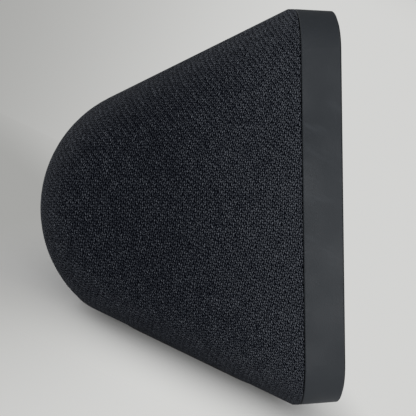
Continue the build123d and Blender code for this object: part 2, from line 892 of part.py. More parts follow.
def port_board():
    """The small board that the ports are soldered to."""
    span = port_board_left + port_board_right
    middle = Pos((port_board_right - port_board_left) / 2, port_board_y + port_board_length / 2,
                 port_board_top - port_board_thick / 2)
    board = middle * Box(span, port_board_length, port_board_thick)
    for x, y in port_screw_places():
        board -= Pos(x, y, port_board_top) * Cylinder(port_screw[2] + screw_clearance, 4 * port_board_thick)
    return board


def port_screw_places():
    """Where the port board is screwed to the housing."""
    y = port_board_y + port_post_inset
    return [(port_post_inset - port_board_left, y), (port_post_spread, y)]


def driver_seat():
    """The flat seat inside the upper slope that the driver is screwed to."""
    size = driver_size + 2 * driver_pad_margin
    pad = extrude(RectangleRounded(size, size, driver_corner + driver_pad_margin), rear_radius)
    return DRIVER * (pad - extrude(Circle(driver_opening), rear_radius))


def grille_slots():
    """Sound slots in the housing, in front of the cone."""
    slots = []
    grille_pitch = 2 * grille_radius * grille_share / (grille_rows - 1)
    for row in range(grille_rows):
        offset = (row - (grille_rows - 1) / 2) * grille_pitch
        length = 2 * math.sqrt(grille_radius ** 2 - offset ** 2)
        slot = extrude(SlotOverall(length, grille_slot), rear_radius / 2)
        slots.append(DRIVER * Pos(0, offset, 0) * slot)
    return slots


def speaker_gasket():
    """The foam ring between the driver and its seat."""
    frame = RectangleRounded(driver_size, driver_size, driver_corner) - Circle(driver_opening)
    for x in (-driver_screw_at, driver_screw_at):
        for y in (-driver_screw_at, driver_screw_at):
            frame -= Pos(x, y) * Circle(driver_screw[2] + screw_clearance)
    return DRIVER * Pos(0, 0, -driver_gasket_thick) * extrude(frame, driver_gasket_thick)


def speaker_basket():
    """The driver's frame: flange, open side wall, spider ledge, floor and terminal tab."""
    frame = RectangleRounded(driver_size, driver_size, driver_corner)
    flange = DRIVER * Pos(0, 0, flange_back) * extrude(frame, driver_flange_thick)
    flange -= DRIVER * Pos(0, 0, flange_back) * extrude(Circle(driver_opening - surround_seat), rear_radius)
    flange -= DRIVER * Pos(0, 0, surround_level) * extrude(Circle(driver_opening), rear_radius)
    floor_top = basket_floor + basket_floor_thick
    inner_top = driver_opening - surround_seat
    inner_low = spider_radius
    knee = cone_front - cone_thick - cone_travel
    wall = turned([(inner_top, flange_back), (inner_top + basket_wall, flange_back),
                   (inner_top + basket_wall, knee), (inner_low + basket_wall, basket_floor),
                   (coil_radius + coil_gap, basket_floor), (coil_radius + coil_gap, floor_top),
                   (inner_low - spider_ledge, floor_top), (inner_low - spider_ledge, spider_seat),
                   (inner_low, spider_seat), (inner_low, spider_seat + 2 * spider_thick), (inner_top, knee)])
    basket = flange + wall
    window_high = flange_back - spider_seat - basket_window_sill
    for turn in range(4):
        reach = Rot(0, 0, 90 * turn + 45) * Pos(driver_opening, 0, flange_back - window_high / 2)
        basket -= DRIVER * reach * Box(driver_opening, basket_window_width, window_high)
    tab = Pos(driver_size / 2 - terminal_width / 2, 0, flange_back - terminal_drop / 2)
    basket += DRIVER * tab * Box(terminal_width, terminal_length, terminal_drop)
    for x in (-driver_screw_at, driver_screw_at):
        for y in (-driver_screw_at, driver_screw_at):
            hole = DRIVER * Pos(x, y, flange_back)
            basket -= hole * Cylinder(driver_screw[2] + screw_clearance, 4 * driver_flange_thick)
    return basket


def speaker_top_plate():
    """The steel plate round the voice coil's gap."""
    return ring(coil_radius + coil_gap, plate_radius, magnet_top, basket_floor)


def speaker_magnet():
    """The ring magnet."""
    return ring(magnet_bore, magnet_radius, yoke_top, magnet_top)


def speaker_yoke():
    """The steel back plate with the pole in its middle."""
    pole = coil_radius - coil_wall - pole_gap
    low = yoke_top - yoke_thick
    return turned([(0, low), (plate_radius, low), (plate_radius, yoke_top), (pole, yoke_top),
                   (pole, basket_floor), (0, basket_floor)])


def voice_coil():
    """The voice coil on its tube, which hangs in the magnet's gap."""
    return ring(coil_radius - coil_wall, coil_radius, coil_bottom, coil_top)


def speaker_cone():
    """The cone, from the coil's tube out to the surround."""
    neck = coil_top - 2 * cone_thick
    return turned([(coil_radius, neck), (cone_radius, cone_front - cone_thick), (cone_radius, cone_front),
                   (coil_radius, neck + cone_thick)])


def dust_cap():
    """The dome that closes the coil's tube."""
    sphere = (coil_radius ** 2 + dome_rise ** 2) / (2 * dome_rise)
    middle = coil_top + dome_rise - sphere
    shell = Pos(0, 0, middle) * (Sphere(sphere) - Sphere(sphere - dome_thick))
    return DRIVER * (shell & Pos(0, 0, coil_top + sphere) * Box(2 * sphere, 2 * sphere, 2 * sphere))


def surround():
    """The rolled rubber ring between the cone and the basket."""
    inner = cone_radius + surround_gap
    outer = driver_opening - surround_lip_clearance
    roll = surround_roll
    middle = (inner + driver_opening - surround_seat + surround_wall) / 2
    half = middle - inner
    hollow = Pos(middle, surround_level) * Ellipse(half - surround_wall, roll - surround_wall)
    arch = Pos(middle, surround_level) * Ellipse(half, roll) - hollow
    arch &= Pos(middle, surround_level + roll) * Rectangle(4 * half, 2 * roll)
    lip = Pos((middle + half / 2 + outer) / 2, surround_level + surround_lip_thick / 2)
    section = arch + (lip * Rectangle(outer - middle - half / 2, surround_lip_thick) - hollow)
    return DRIVER * revolve(Plane.XZ * section, Axis.Z)


def spider():
    """The corrugated disc that centres the voice coil."""
    inner = coil_radius + surround_gap
    steps = 2 * spider_folds
    step_width = (spider_radius - spider_ledge - inner) / steps
    lower = [(inner + step_width * step, spider_seat + spider_wave * (step % 2)) for step in range(steps + 1)]
    lower.append((spider_radius, spider_seat))
    upper = [(radius, height + spider_thick) for radius, height in reversed(lower)]
    return turned(lower + upper)


def speaker_leads():
    """The two wires from the driver's terminals to their plug on the main board."""
    leads = []
    for sign in (-1, 1):
        terminal = (driver_size - terminal_width) / 2
        start = DRIVER * Pos(terminal, sign * lead_spread, flange_back - terminal_drop)
        drop = start * Pos(0, 0, -lead_drop)
        plug_rise = speaker_plug_rise - sign * lead_spread / 2
        land = FRONT * Pos(speaker_plug_x, plug_rise, -(board_far + connector_thick))
        lift = land * Pos(0, 0, -lead_run)
        points = [spot.position for spot in (start, drop, lift, land)]
        path = FilletPolyline(*points, radius=lead_bend)
        leads.append(sweep(Plane(origin=path @ 0, z_dir=path % 0) * Circle(lead_radius), path))
    return group(leads)


def main_board():
    """The main board, with its screw holes."""
    board = slab(board_width, board_height, board_corner, board_near, board_far, rise=board_rise)
    for x, rise in board_screw_places():
        board -= post(x, rise, board_screw[2] + screw_clearance, board_near, board_far)
    return board


def connector(x, width, rise):
    """A plug socket on the back of the main board."""
    half = width / 2
    low = rise - connector_height / 2
    return block((x - half, x + half), (low, low + connector_height), board_far, board_far + connector_thick)


def connector_low():
    """Rise of the middle of the sockets along the board's lower edge."""
    return board_low + connector_edge + connector_height / 2


def connector_high():
    """Rise of the middle of the socket on the board's upper edge."""
    return board_top - connector_edge - connector_height / 2


def board_connectors():
    """The sockets for the flat cables, the speaker's leads and the camera."""
    margin = 2 * connector_margin
    half = camera_plug_width / 2
    camera_plug = block((camera_plug_x - half, camera_plug_x + half),
                        (camera_flex_rise - camera_flex_width / 2, camera_flex_rise + camera_flex_width / 2),
                        frame_far + flex_thick, board_near)
    return group([connector(0, display_flex_width + margin, connector_low()),
                  connector(port_cable_x, port_cable_width + margin, connector_low()),
                  connector(button_flex_x, button_flex_width + margin, connector_high()),
                  connector(speaker_plug_x, speaker_plug_width, speaker_plug_rise),
                  camera_plug])


def display_flex():
    """The flat cable from the display round the board's lower edge."""
    drop = display_low - display_flex_drop
    end = connector_low() - connector_height / 2
    return flat_cable([(display_flex_depth, display_low), (display_flex_depth, drop), (flex_depth, drop),
                       (flex_depth, end)], 0, display_flex_width)


def button_flex():
    """The flat cable from the button board down to the main board."""
    rise = front_height / 2 + (button_board_bottom + switch_bottom) / 2
    end = connector_high() + connector_height / 2
    return flat_cable([(button_board_far(), rise), (flex_depth, rise), (flex_depth, end)],
                      button_flex_x, button_flex_width)


def port_cable():
    """The flat cable from the port board along the floor and up to the main board."""
    z = port_board_top - port_board_thick / 2
    start_y, start_z = port_board_y - front_y, z - front_z
    start = (start_y * cos_lean - start_z * sin_lean, start_y * sin_lean + start_z * cos_lean)
    corner = (flex_depth, (start_z + flex_depth * sin_lean) / cos_lean)
    end = (flex_depth, connector_low() - connector_height / 2)
    return flat_cable([start, corner, end], port_cable_x, port_cable_width)


def camera_flex():
    """The flat cable from the camera, which lies on the inner frame."""
    half = camera_flex_width / 2
    down = block((camera_x - half, camera_x + half), (camera_flex_rise - half, camera_rise - camera_size / 2),
                 frame_far, frame_far + flex_thick)
    left = camera_plug_x - camera_plug_width / 2
    across = block((left, camera_x + half), (camera_flex_rise - half, camera_flex_rise + half),
                   frame_far, frame_far + flex_thick)
    return down + across


def processor():
    """The processor chip under the shield."""
    half = processor_size / 2
    return block((processor_x - half, processor_x + half), (can_rise - half, can_rise + half),
                 board_far, board_far + processor_thick)


def memory_chips():
    """Two memory chips beside the processor."""
    half = memory_width / 2
    chips = []
    for sign in (-1, 1):
        ends = sorted(can_rise + sign * value for value in (memory_gap / 2, memory_gap / 2 + memory_height))
        chips.append(block((memory_x - half, memory_x + half), ends, board_far, board_far + memory_thick))
    return group(chips)


def shield_can():
    """The sheet-metal can over the chips."""
    outer = slab(can_width, can_height, 2 * can_wall, board_far, can_far, can_x, can_rise)
    return outer - slab(can_width - 2 * can_wall, can_height - 2 * can_wall, can_wall, board_far,
                        can_far - can_wall, can_x, can_rise)


def thermal_pad():
    """The soft pad that carries heat from the can to the heat sink."""
    width, height = can_width - pad_margin, can_height - pad_margin
    return slab(width, height, pad_corner, can_far, pad_far, can_x, can_rise)


def heat_sink():
    """The finned plate on the pad."""
    width = can_width + 2 * sink_margin
    height = can_height + 2 * sink_margin
    sink = slab(width, height, pad_corner, pad_far, sink_far, can_x, can_rise)
    count = int(width // fin_pitch)
    for fin in range(count):
        x = can_x + (fin - (count - 1) / 2) * fin_pitch
        sink += block((x - fin_thick / 2, x + fin_thick / 2), (can_rise - height / 2, can_rise + height / 2),
                      sink_far, sink_far + fin_height)
    return sink


def antennas():
    """Flat antennas stuck inside the housing's two sides."""
    wall = body_width / 2 - cavity_inset
    rise = (antenna_rise - antenna_width / 2, antenna_rise + antenna_width / 2)
    near, far = antenna_depth - antenna_length / 2, antenna_depth + antenna_length / 2
    left = block((-wall, antenna_thick - wall), rise, near, far)
    return group([left, block((wall - antenna_thick, wall), rise, near, far)])


def frame_screws():
    """The screws that hold the inner frame to the housing."""
    return group([screw(FRONT * Pos(x, rise, -frame_near), frame_screw) for x, rise in frame_screw_places()])


def board_screws():
    """The screws that hold the main board."""
    seats = [FRONT * Pos(x, rise, -board_far) * Rot(180, 0, 0) for x, rise in board_screw_places()]
    return group([screw(seat, board_screw) for seat in seats])


def base_screws():
    """The screws that hold the base plate, under the foot."""
    shoulder = housing_bottom + base_screw[1] + 2 * screw_clearance
    return group([screw(Pos(x, y, shoulder) * Rot(180, 0, 0), base_screw) for x, y in base_screw_places()])


def port_screws():
    """The screws that hold the port board."""
    return group([screw(Pos(x, y, port_board_top), port_screw) for x, y in port_screw_places()])


def speaker_screws():
    """The screws that hold the driver to its seat."""
    at = (-driver_screw_at, driver_screw_at)
    seats = [DRIVER * Pos(x, y, flange_back) * Rot(180, 0, 0) for x in at for y in at]
    return group([screw(seat, driver_screw) for seat in seats])


def build():
    """Every node of the speaker, by name."""
    nodes = {"front_bezel": front_bezel(), "cover_glass": cover_glass(), "display_gasket": display_gasket(),
             "display_panel": display_panel(), "inner_frame": inner_frame(), "display_flex": display_flex(),
             "camera_module": camera_module(), "camera_lens": camera_lens(), "camera_flex": camera_flex(),
             "shutter_knob": shutter_knob(), "shutter_blade": shutter_blade(), "button_board": button_board(),
             "button_flex": button_flex(), "rear_housing": rear_housing(), "fabric_cover": fabric_cover(),
             "base_plate": base_plate(), "foot_pad": foot_pad(), "port_panel": port_panel(),
             "power_jack": power_jack(), "power_pin": power_pin(), "usb_socket": usb_socket(),
             "audio_jack": audio_jack(), "port_board": port_board(), "port_cable": port_cable(),
             "speaker_basket": speaker_basket(), "speaker_gasket": speaker_gasket(),
             "speaker_magnet": speaker_magnet(), "speaker_yoke": speaker_yoke(),
             "speaker_top_plate": speaker_top_plate(), "voice_coil": voice_coil(),
             "speaker_cone": speaker_cone(), "dust_cap": dust_cap(), "surround": surround(),
             "spider": spider(), "speaker_leads": speaker_leads(), "main_board": main_board(),
             "processor": processor(), "memory_chips": memory_chips(), "shield_can": shield_can(),
             "thermal_pad": thermal_pad(), "heat_sink": heat_sink(), "board_connectors": board_connectors(),
             "antennas": antennas(), "frame_screws": frame_screws(), "board_screws": board_screws(),
             "base_screws": base_screws(), "port_screws": port_screws(), "speaker_screws": speaker_screws()}
    for name, x in button_places().items():
        nodes[f"{name}_button"] = button(x)
        nodes[f"{name}_plunger"] = plunger(x)
    nodes["button_switches"] = group([button_switch(x) for x in button_places().values()])
    nodes["microphones"] = group([microphone(sign * mic_spread) for sign in (-1, 1)])
    nodes["microphone_seals"] = group([microphone_seal(sign * mic_spread) for sign in (-1, 1)])
    return nodes


os.makedirs("parts", exist_ok=True)
for node, shape in build().items():
    export_step(shape, f"parts/{node}.step")
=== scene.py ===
"""Looks of a wedge-shaped smart speaker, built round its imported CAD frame.

Everything is in metres in the frame's own axes: +Z up, the glass faces -Y and leans back, +X runs along the
width. Depth is measured from the glass into the body, rise up the glass from its middle.
"""

import json
import logging
import math
from collections.abc import Iterator
from contextlib import contextmanager
from dataclasses import dataclass
from enum import Enum
from typing import Any

import bmesh
import bpy
import numpy as np
from mathutils import Matrix, Vector


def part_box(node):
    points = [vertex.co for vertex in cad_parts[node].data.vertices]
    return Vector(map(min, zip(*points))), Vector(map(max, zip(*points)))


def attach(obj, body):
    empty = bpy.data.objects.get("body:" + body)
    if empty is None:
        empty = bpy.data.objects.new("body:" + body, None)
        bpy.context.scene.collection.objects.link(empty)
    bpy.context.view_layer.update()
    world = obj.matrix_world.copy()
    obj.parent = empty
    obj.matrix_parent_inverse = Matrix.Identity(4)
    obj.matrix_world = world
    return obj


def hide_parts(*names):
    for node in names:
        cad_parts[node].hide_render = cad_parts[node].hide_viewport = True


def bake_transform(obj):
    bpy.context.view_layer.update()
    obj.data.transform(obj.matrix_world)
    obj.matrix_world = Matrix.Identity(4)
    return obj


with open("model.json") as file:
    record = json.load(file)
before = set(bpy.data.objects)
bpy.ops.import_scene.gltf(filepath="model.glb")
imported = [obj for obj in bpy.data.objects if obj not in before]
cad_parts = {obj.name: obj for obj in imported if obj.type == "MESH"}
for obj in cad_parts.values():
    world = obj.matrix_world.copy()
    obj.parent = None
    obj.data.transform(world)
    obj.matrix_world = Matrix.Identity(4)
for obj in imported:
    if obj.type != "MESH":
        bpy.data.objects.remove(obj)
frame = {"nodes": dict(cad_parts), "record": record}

LOG = logging.getLogger("speaker")
BODY = "body"
MM = 0.001

# Points nearer than MERGE are one point, points nearer than CUT lie on a cutting plane, and an edge that
# turns further than SHARP isn't shaded smooth.
MERGE = 1e-6
CUT = 1e-7
SHARP = math.radians(40.0)

# Blender's wave texture turns by this angle over one unit of length at scale 1.
WAVE_TURN = 20.0

Pair = tuple[float, float]
Triple = tuple[float, float, float]
Colour = Triple
Piece = bpy.types.Object
Socket = bpy.types.NodeSocket
Wire = float | Socket


class Pattern(Enum):
    """What breaks up the surface of a plain finish."""

    GRAIN = "moulded grain"
    BRUSHED = "ground lines"
    TRACKS = "copper tracks under lacquer"
    WEAVE = "woven threads"
    TURNS = "turns of wire"


class Ray(Enum):
    """Rays that see the pale background in place of the light that falls on the object."""

    CAMERA = "Is Camera Ray"
    GLOSSY = "Is Glossy Ray"
    TRANSMISSION = "Is Transmission Ray"


@dataclass(frozen=True)
class Wedge:
    """The speaker's wedge, with the values of the CAD source in metres and degrees."""

    width: float = 148.0 * MM
    front_y: float = -22.19934 * MM
    front_z: float = 47.02946 * MM
    lean: float = 26.507528
    top_slope: float = 25.640211
    axis_depth: float = 39.5 * MM
    rear_radius: float = 29.1 * MM
    side_round: float = 12.0 * MM

    @property
    def inward(self) -> Vector:
        """The direction from the glass into the body."""
        return Vector((0.0, math.cos(math.radians(self.lean)), -math.sin(math.radians(self.lean))))

    @property
    def upward(self) -> Vector:
        """The direction up the glass."""
        return Vector((0.0, math.sin(math.radians(self.lean)), math.cos(math.radians(self.lean))))

    def place(self, x: float, depth: float, rise: float) -> Vector:
        """A point from its place along the width, its depth and its rise.

        Args:
            x: Place along the width.
            depth: Distance behind the glass.
            rise: Distance up the glass from its middle.

        Returns:
            The point in the object's frame.
        """
        middle = Vector((x, self.front_y, self.front_z))
        return middle + depth * self.inward + rise * self.upward

    def depth_and_rise(self, points: np.ndarray) -> tuple[np.ndarray, np.ndarray]:
        """Depths and rises of points of the object's frame.

        Args:
            points: One row of coordinates for each point.

        Returns:
            The depths and the rises.
        """
        from_front = points - np.array((0.0, self.front_y, self.front_z))
        return from_front @ np.array(self.inward), from_front @ np.array(self.upward)


@dataclass
class Sketch:
    """A node tree while it is being drawn."""

    tree: bpy.types.NodeTree

    def add(self, kind: str, inputs: dict[Any, Any] | None = None, **settings: Any) -> bpy.types.Node:
        """Adds a node.

        Args:
            kind: Blender's name of the node's type.
            inputs: Values or sockets for the node's inputs, by name or number.
            **settings: Values for the node's own properties.

        Returns:
            The new node.
        """
        node = self.tree.nodes.new(kind)
        for name, value in settings.items():
            setattr(node, name, value)
        for key, value in (inputs or {}).items():
            self.feed(node.inputs[key], value)
        return node

    def out(self, kind: str, inputs: dict[Any, Any] | None = None, **settings: Any) -> Socket:
        """Adds a node and hands on its first output."""
        return self.add(kind, inputs, **settings).outputs[0]

    def feed(self, target: Socket, value: Any) -> None:
        """Links a socket to an input, or sets the input to a plain value.

        Args:
            target: The input.
            value: The socket or the plain value.
        """
        if isinstance(value, Socket):
            self.tree.links.new(value, target)
        else:
            target.default_value = value

    def math(self, operation: str, first: Wire, second: Wire = 0.0) -> Socket:
        """One sum on two numbers."""
        return self.out("ShaderNodeMath", {0: first, 1: second}, operation=operation)

    def vector(self, operation: str, first: Any, second: Any = (0.0, 0.0, 0.0)) -> Socket:
        """One sum on two vectors."""
        node = self.add("ShaderNodeVectorMath", {0: first, 1: second}, operation=operation)
        return node.outputs["Value" if operation in ("DOT_PRODUCT", "LENGTH") else "Vector"]

    def span(self, value: Wire, low: float, high: float, to_low: float = 0.0, to_high: float = 1.0,
             smooth: bool = True) -> Socket:
        """A number carried from one range to another, and held at its ends.

        Args:
            value: The number.
            low: Where the first range starts.
            high: Where the first range ends.
            to_low: Where the second range starts.
            to_high: Where the second range ends.
            smooth: Whether the ends are eased.

        Returns:
            The number in the second range.
        """
        kind = "SMOOTHSTEP" if smooth else "LINEAR"
        ends = {0: value, 1: low, 2: high, 3: to_low, 4: to_high}
        return self.out("ShaderNodeMapRange", ends, interpolation_type=kind)

    def blend(self, share: Wire, first: Any, second: Any) -> Socket:
        """A colour between two colours.

        Args:
            share: How far it is from the first to the second.
            first: A colour or a socket that gives one.
            second: Another.

        Returns:
            The colour.
        """
        colours = [value if isinstance(value, Socket) else (*value, 1.0) for value in (first, second)]
        node = self.add("ShaderNodeMix", {0: share, 6: colours[0], 7: colours[1]}, data_type="RGBA")
        return node.outputs[2]

    def noise(self, place: Any, cells: float, detail: float) -> Socket:
        """Cloudy noise with so many cells to a unit of the place, a metre or a stitch."""
        return self.out("ShaderNodeTexNoise", {"Vector": place, "Scale": cells, "Detail": detail})

    def wave(self, place: Any, cells: float, way: str, waver: float = 0.0) -> Socket:
        """Waves along an axis that turn by so many radians over a metre."""
        inputs = {"Vector": place, "Scale": cells / WAVE_TURN, "Distortion": waver}
        return self.add("ShaderNodeTexWave", inputs, bands_direction=way).outputs[1]

    def bump(self, height: Any, depth: float, strength: float = 1.0) -> Socket:
        """A surface normal from heights of 0 to 1 and their depth in metres."""
        return self.out("ShaderNodeBump", {"Height": height, "Distance": depth, "Strength": strength})


class Finish:
    """A finish that makes its material once and hands it out after that."""

    name: str

    def draw(self, sketch: Sketch) -> Socket:
        """Draws the finish and returns its shader; each kind of finish has its own."""
        raise NotImplementedError

    def material(self) -> bpy.types.Material:
        """Makes the finish's material at its first use.

        Returns:
            The material.
        """
        found = bpy.data.materials.get(f"finish_{self.name}")
        if found is not None:
            return found
        made = bpy.data.materials.new(f"finish_{self.name}")
        made.use_nodes = True
        made.node_tree.nodes.clear()
        sketch = Sketch(made.node_tree)
        sketch.add("ShaderNodeOutputMaterial", {"Surface": self.draw(sketch)})
        return made

    def put_on(self, piece: Piece) -> None:
        """Makes this the only finish of a piece."""
        piece.data.materials.clear()
        piece.data.materials.append(self.material())


@dataclass(frozen=True)
class Plain(Finish):
    """A one-colour finish with the grain, lines or threads of its material.

    The values named cells are counted to the metre, and those named range say which part of a noise counts.
    """

    name: str
    colour: Colour
    pattern: Pattern = Pattern.GRAIN
    second: Colour | None = None
    size: float = 0.25 * MM
    depth: float = 0.012 * MM
    roughness: float = 0.5
    spread: float = 0.08
    metallic: float = 0.0
    coat: float = 0.0
    sheen: float = 0.0
    specular: float = 0.5
    mottle: float = 0.06
    scuffs: float = 0.0
    coat_roughness: float = 0.12
    cloud_cells: float = 90.0
    cloud_range: Pair = (0.25, 0.75)
    mottle_range: Pair = (0.3, 0.75)
    mottle_share: float = 0.5
    mottle_gain: float = 4.0
    brush_stretch: Triple = (0.04, 1.0, 1.0)
    track_range: Pair = (0.06, 0.12)
    coil_tilt: Triple = (math.radians(-53.1), 0.0, 0.0)
    thread_waver: float = 0.6
    rub_turn: Triple = (0.5, 0.2, 0.3)
    rub_stretch: Triple = (1.0, 0.35, 1.6)
    rub_cells: float = 260.0
    rub_range: Pair = (0.56, 0.76)
    patch_cells: float = 40.0
    patch_range: Pair = (0.45, 0.65)
    rub_gain: float = 2.2
    rub_lift: float = 0.03
    rub_roughness: float = 0.2

    def draw(self, sketch: Sketch) -> Socket:
        """Draws colour, roughness and relief on the piece's own coordinates.

        Args:
            sketch: The tree to draw in.

        Returns:
            The shader.
        """
        place = sketch.add("ShaderNodeTexCoord").outputs["Object"]
        relief = self.relief(sketch, place)
        cloud = sketch.noise(place, self.cloud_cells, detail=4.0)
        if self.second is None:
            other = tuple(channel * (1.0 - self.mottle_gain * self.mottle) for channel in self.colour)
            share = sketch.span(cloud, *self.mottle_range, 0.0, self.mottle_share)
        else:
            other = self.second
            share = relief
        colour = sketch.blend(share, self.colour, other)
        rough = sketch.span(cloud, *self.cloud_range, self.roughness - self.spread,
                            self.roughness + self.spread)
        if self.scuffs:
            colour, rough = self.scuffed(sketch, place, colour, rough)
        return sketch.out("ShaderNodeBsdfPrincipled", {
            "Base Color": colour, "Roughness": rough, "Metallic": self.metallic,
            "Coat Weight": self.coat, "Coat Roughness": self.coat_roughness, "Sheen Weight": self.sheen,
            "Specular IOR Level": self.specular, "Normal": sketch.bump(relief, self.depth)})

    def relief(self, sketch: Sketch, place: Socket) -> Socket:
        """Heights of the pattern, from 0 to 1.

        Args:
            sketch: The tree to draw in.
            place: Where on the piece the pattern is read.

        Returns:
            The height.
        """
        cells = 1.0 / self.size
        if self.pattern is Pattern.GRAIN:
            return sketch.noise(place, cells, detail=2.0)
        if self.pattern is Pattern.BRUSHED:
            drawn = sketch.out("ShaderNodeMapping", {"Vector": place, "Scale": self.brush_stretch})
            return sketch.noise(drawn, cells, detail=3.0)
        if self.pattern is Pattern.TRACKS:
            node = sketch.add("ShaderNodeTexVoronoi", {"Vector": place, "Scale": cells},
                              feature="DISTANCE_TO_EDGE", distance="MANHATTAN")
            return sketch.span(node.outputs["Distance"], *self.track_range)
        if self.pattern is Pattern.TURNS:
            along = sketch.out("ShaderNodeMapping", {"Vector": place, "Rotation": self.coil_tilt})
            return sketch.wave(along, cells, "Z")
        threads = (sketch.wave(place, cells, way, self.thread_waver) for way in ("X", "Z"))
        return sketch.math("MULTIPLY", *threads)

    def scuffed(self, sketch: Sketch, place: Socket, colour: Socket,
                rough: Socket) -> tuple[Socket, Socket]:
        """Adds faint pale rubs and handling marks.

        Args:
            sketch: The tree to draw in.
            place: Where on the piece the marks are read.
            colour: The colour without marks.
            rough: The roughness without marks.

        Returns:
            The colour and the roughness with marks.
        """
        drawn = sketch.out("ShaderNodeMapping", {
            "Vector": place, "Rotation": self.rub_turn, "Scale": self.rub_stretch})
        streak = sketch.span(sketch.noise(drawn, self.rub_cells, detail=5.0), *self.rub_range)
        where = sketch.span(sketch.noise(place, self.patch_cells, detail=2.0), *self.patch_range)
        mark = sketch.math("MULTIPLY", sketch.math("MULTIPLY", streak, where), self.scuffs)
        paler = tuple(min(1.0, channel * self.rub_gain + self.rub_lift) for channel in self.colour)
        duller = sketch.math("ADD", rough, sketch.math("MULTIPLY", mark, self.rub_roughness))
        return sketch.blend(mark, colour, paler), duller


@dataclass(frozen=True)
class ClearGlass(Finish):
    """Polished glass that shows what is behind it."""

    name: str
    tint: Colour
    roughness: float = 0.02
    ior: float = 1.5
    facing: Triple | None = None
    rim: Colour = (0.004, 0.004, 0.005)
    rim_range: Pair = (0.6, 0.95)
    film_cells: float = 25.0
    film_range: Pair = (0.2, 0.9)
    film_roughness: float = 0.02

    def draw(self, sketch: Sketch) -> Socket:
        """Draws clear glass with the faint film that fingers leave, and a dark rim where it has a facing.

        Args:
            sketch: The tree to draw in.

        Returns:
            The shader.
        """
        read = sketch.add("ShaderNodeTexCoord").outputs
        cloud = sketch.noise(read["Object"], self.film_cells, detail=1.0)
        film = sketch.span(cloud, *self.film_range, self.roughness, self.roughness + self.film_roughness)
        colour: Any = (*self.tint, 1.0)
        if self.facing is not None:
            level = sketch.math("ABSOLUTE", sketch.vector("DOT_PRODUCT", read["Normal"], self.facing))
            colour = sketch.blend(sketch.span(level, *self.rim_range), self.rim, self.tint)
        return sketch.out("ShaderNodeBsdfPrincipled", {
            "Base Color": colour, "Roughness": film, "IOR": self.ior, "Transmission Weight": 1.0})


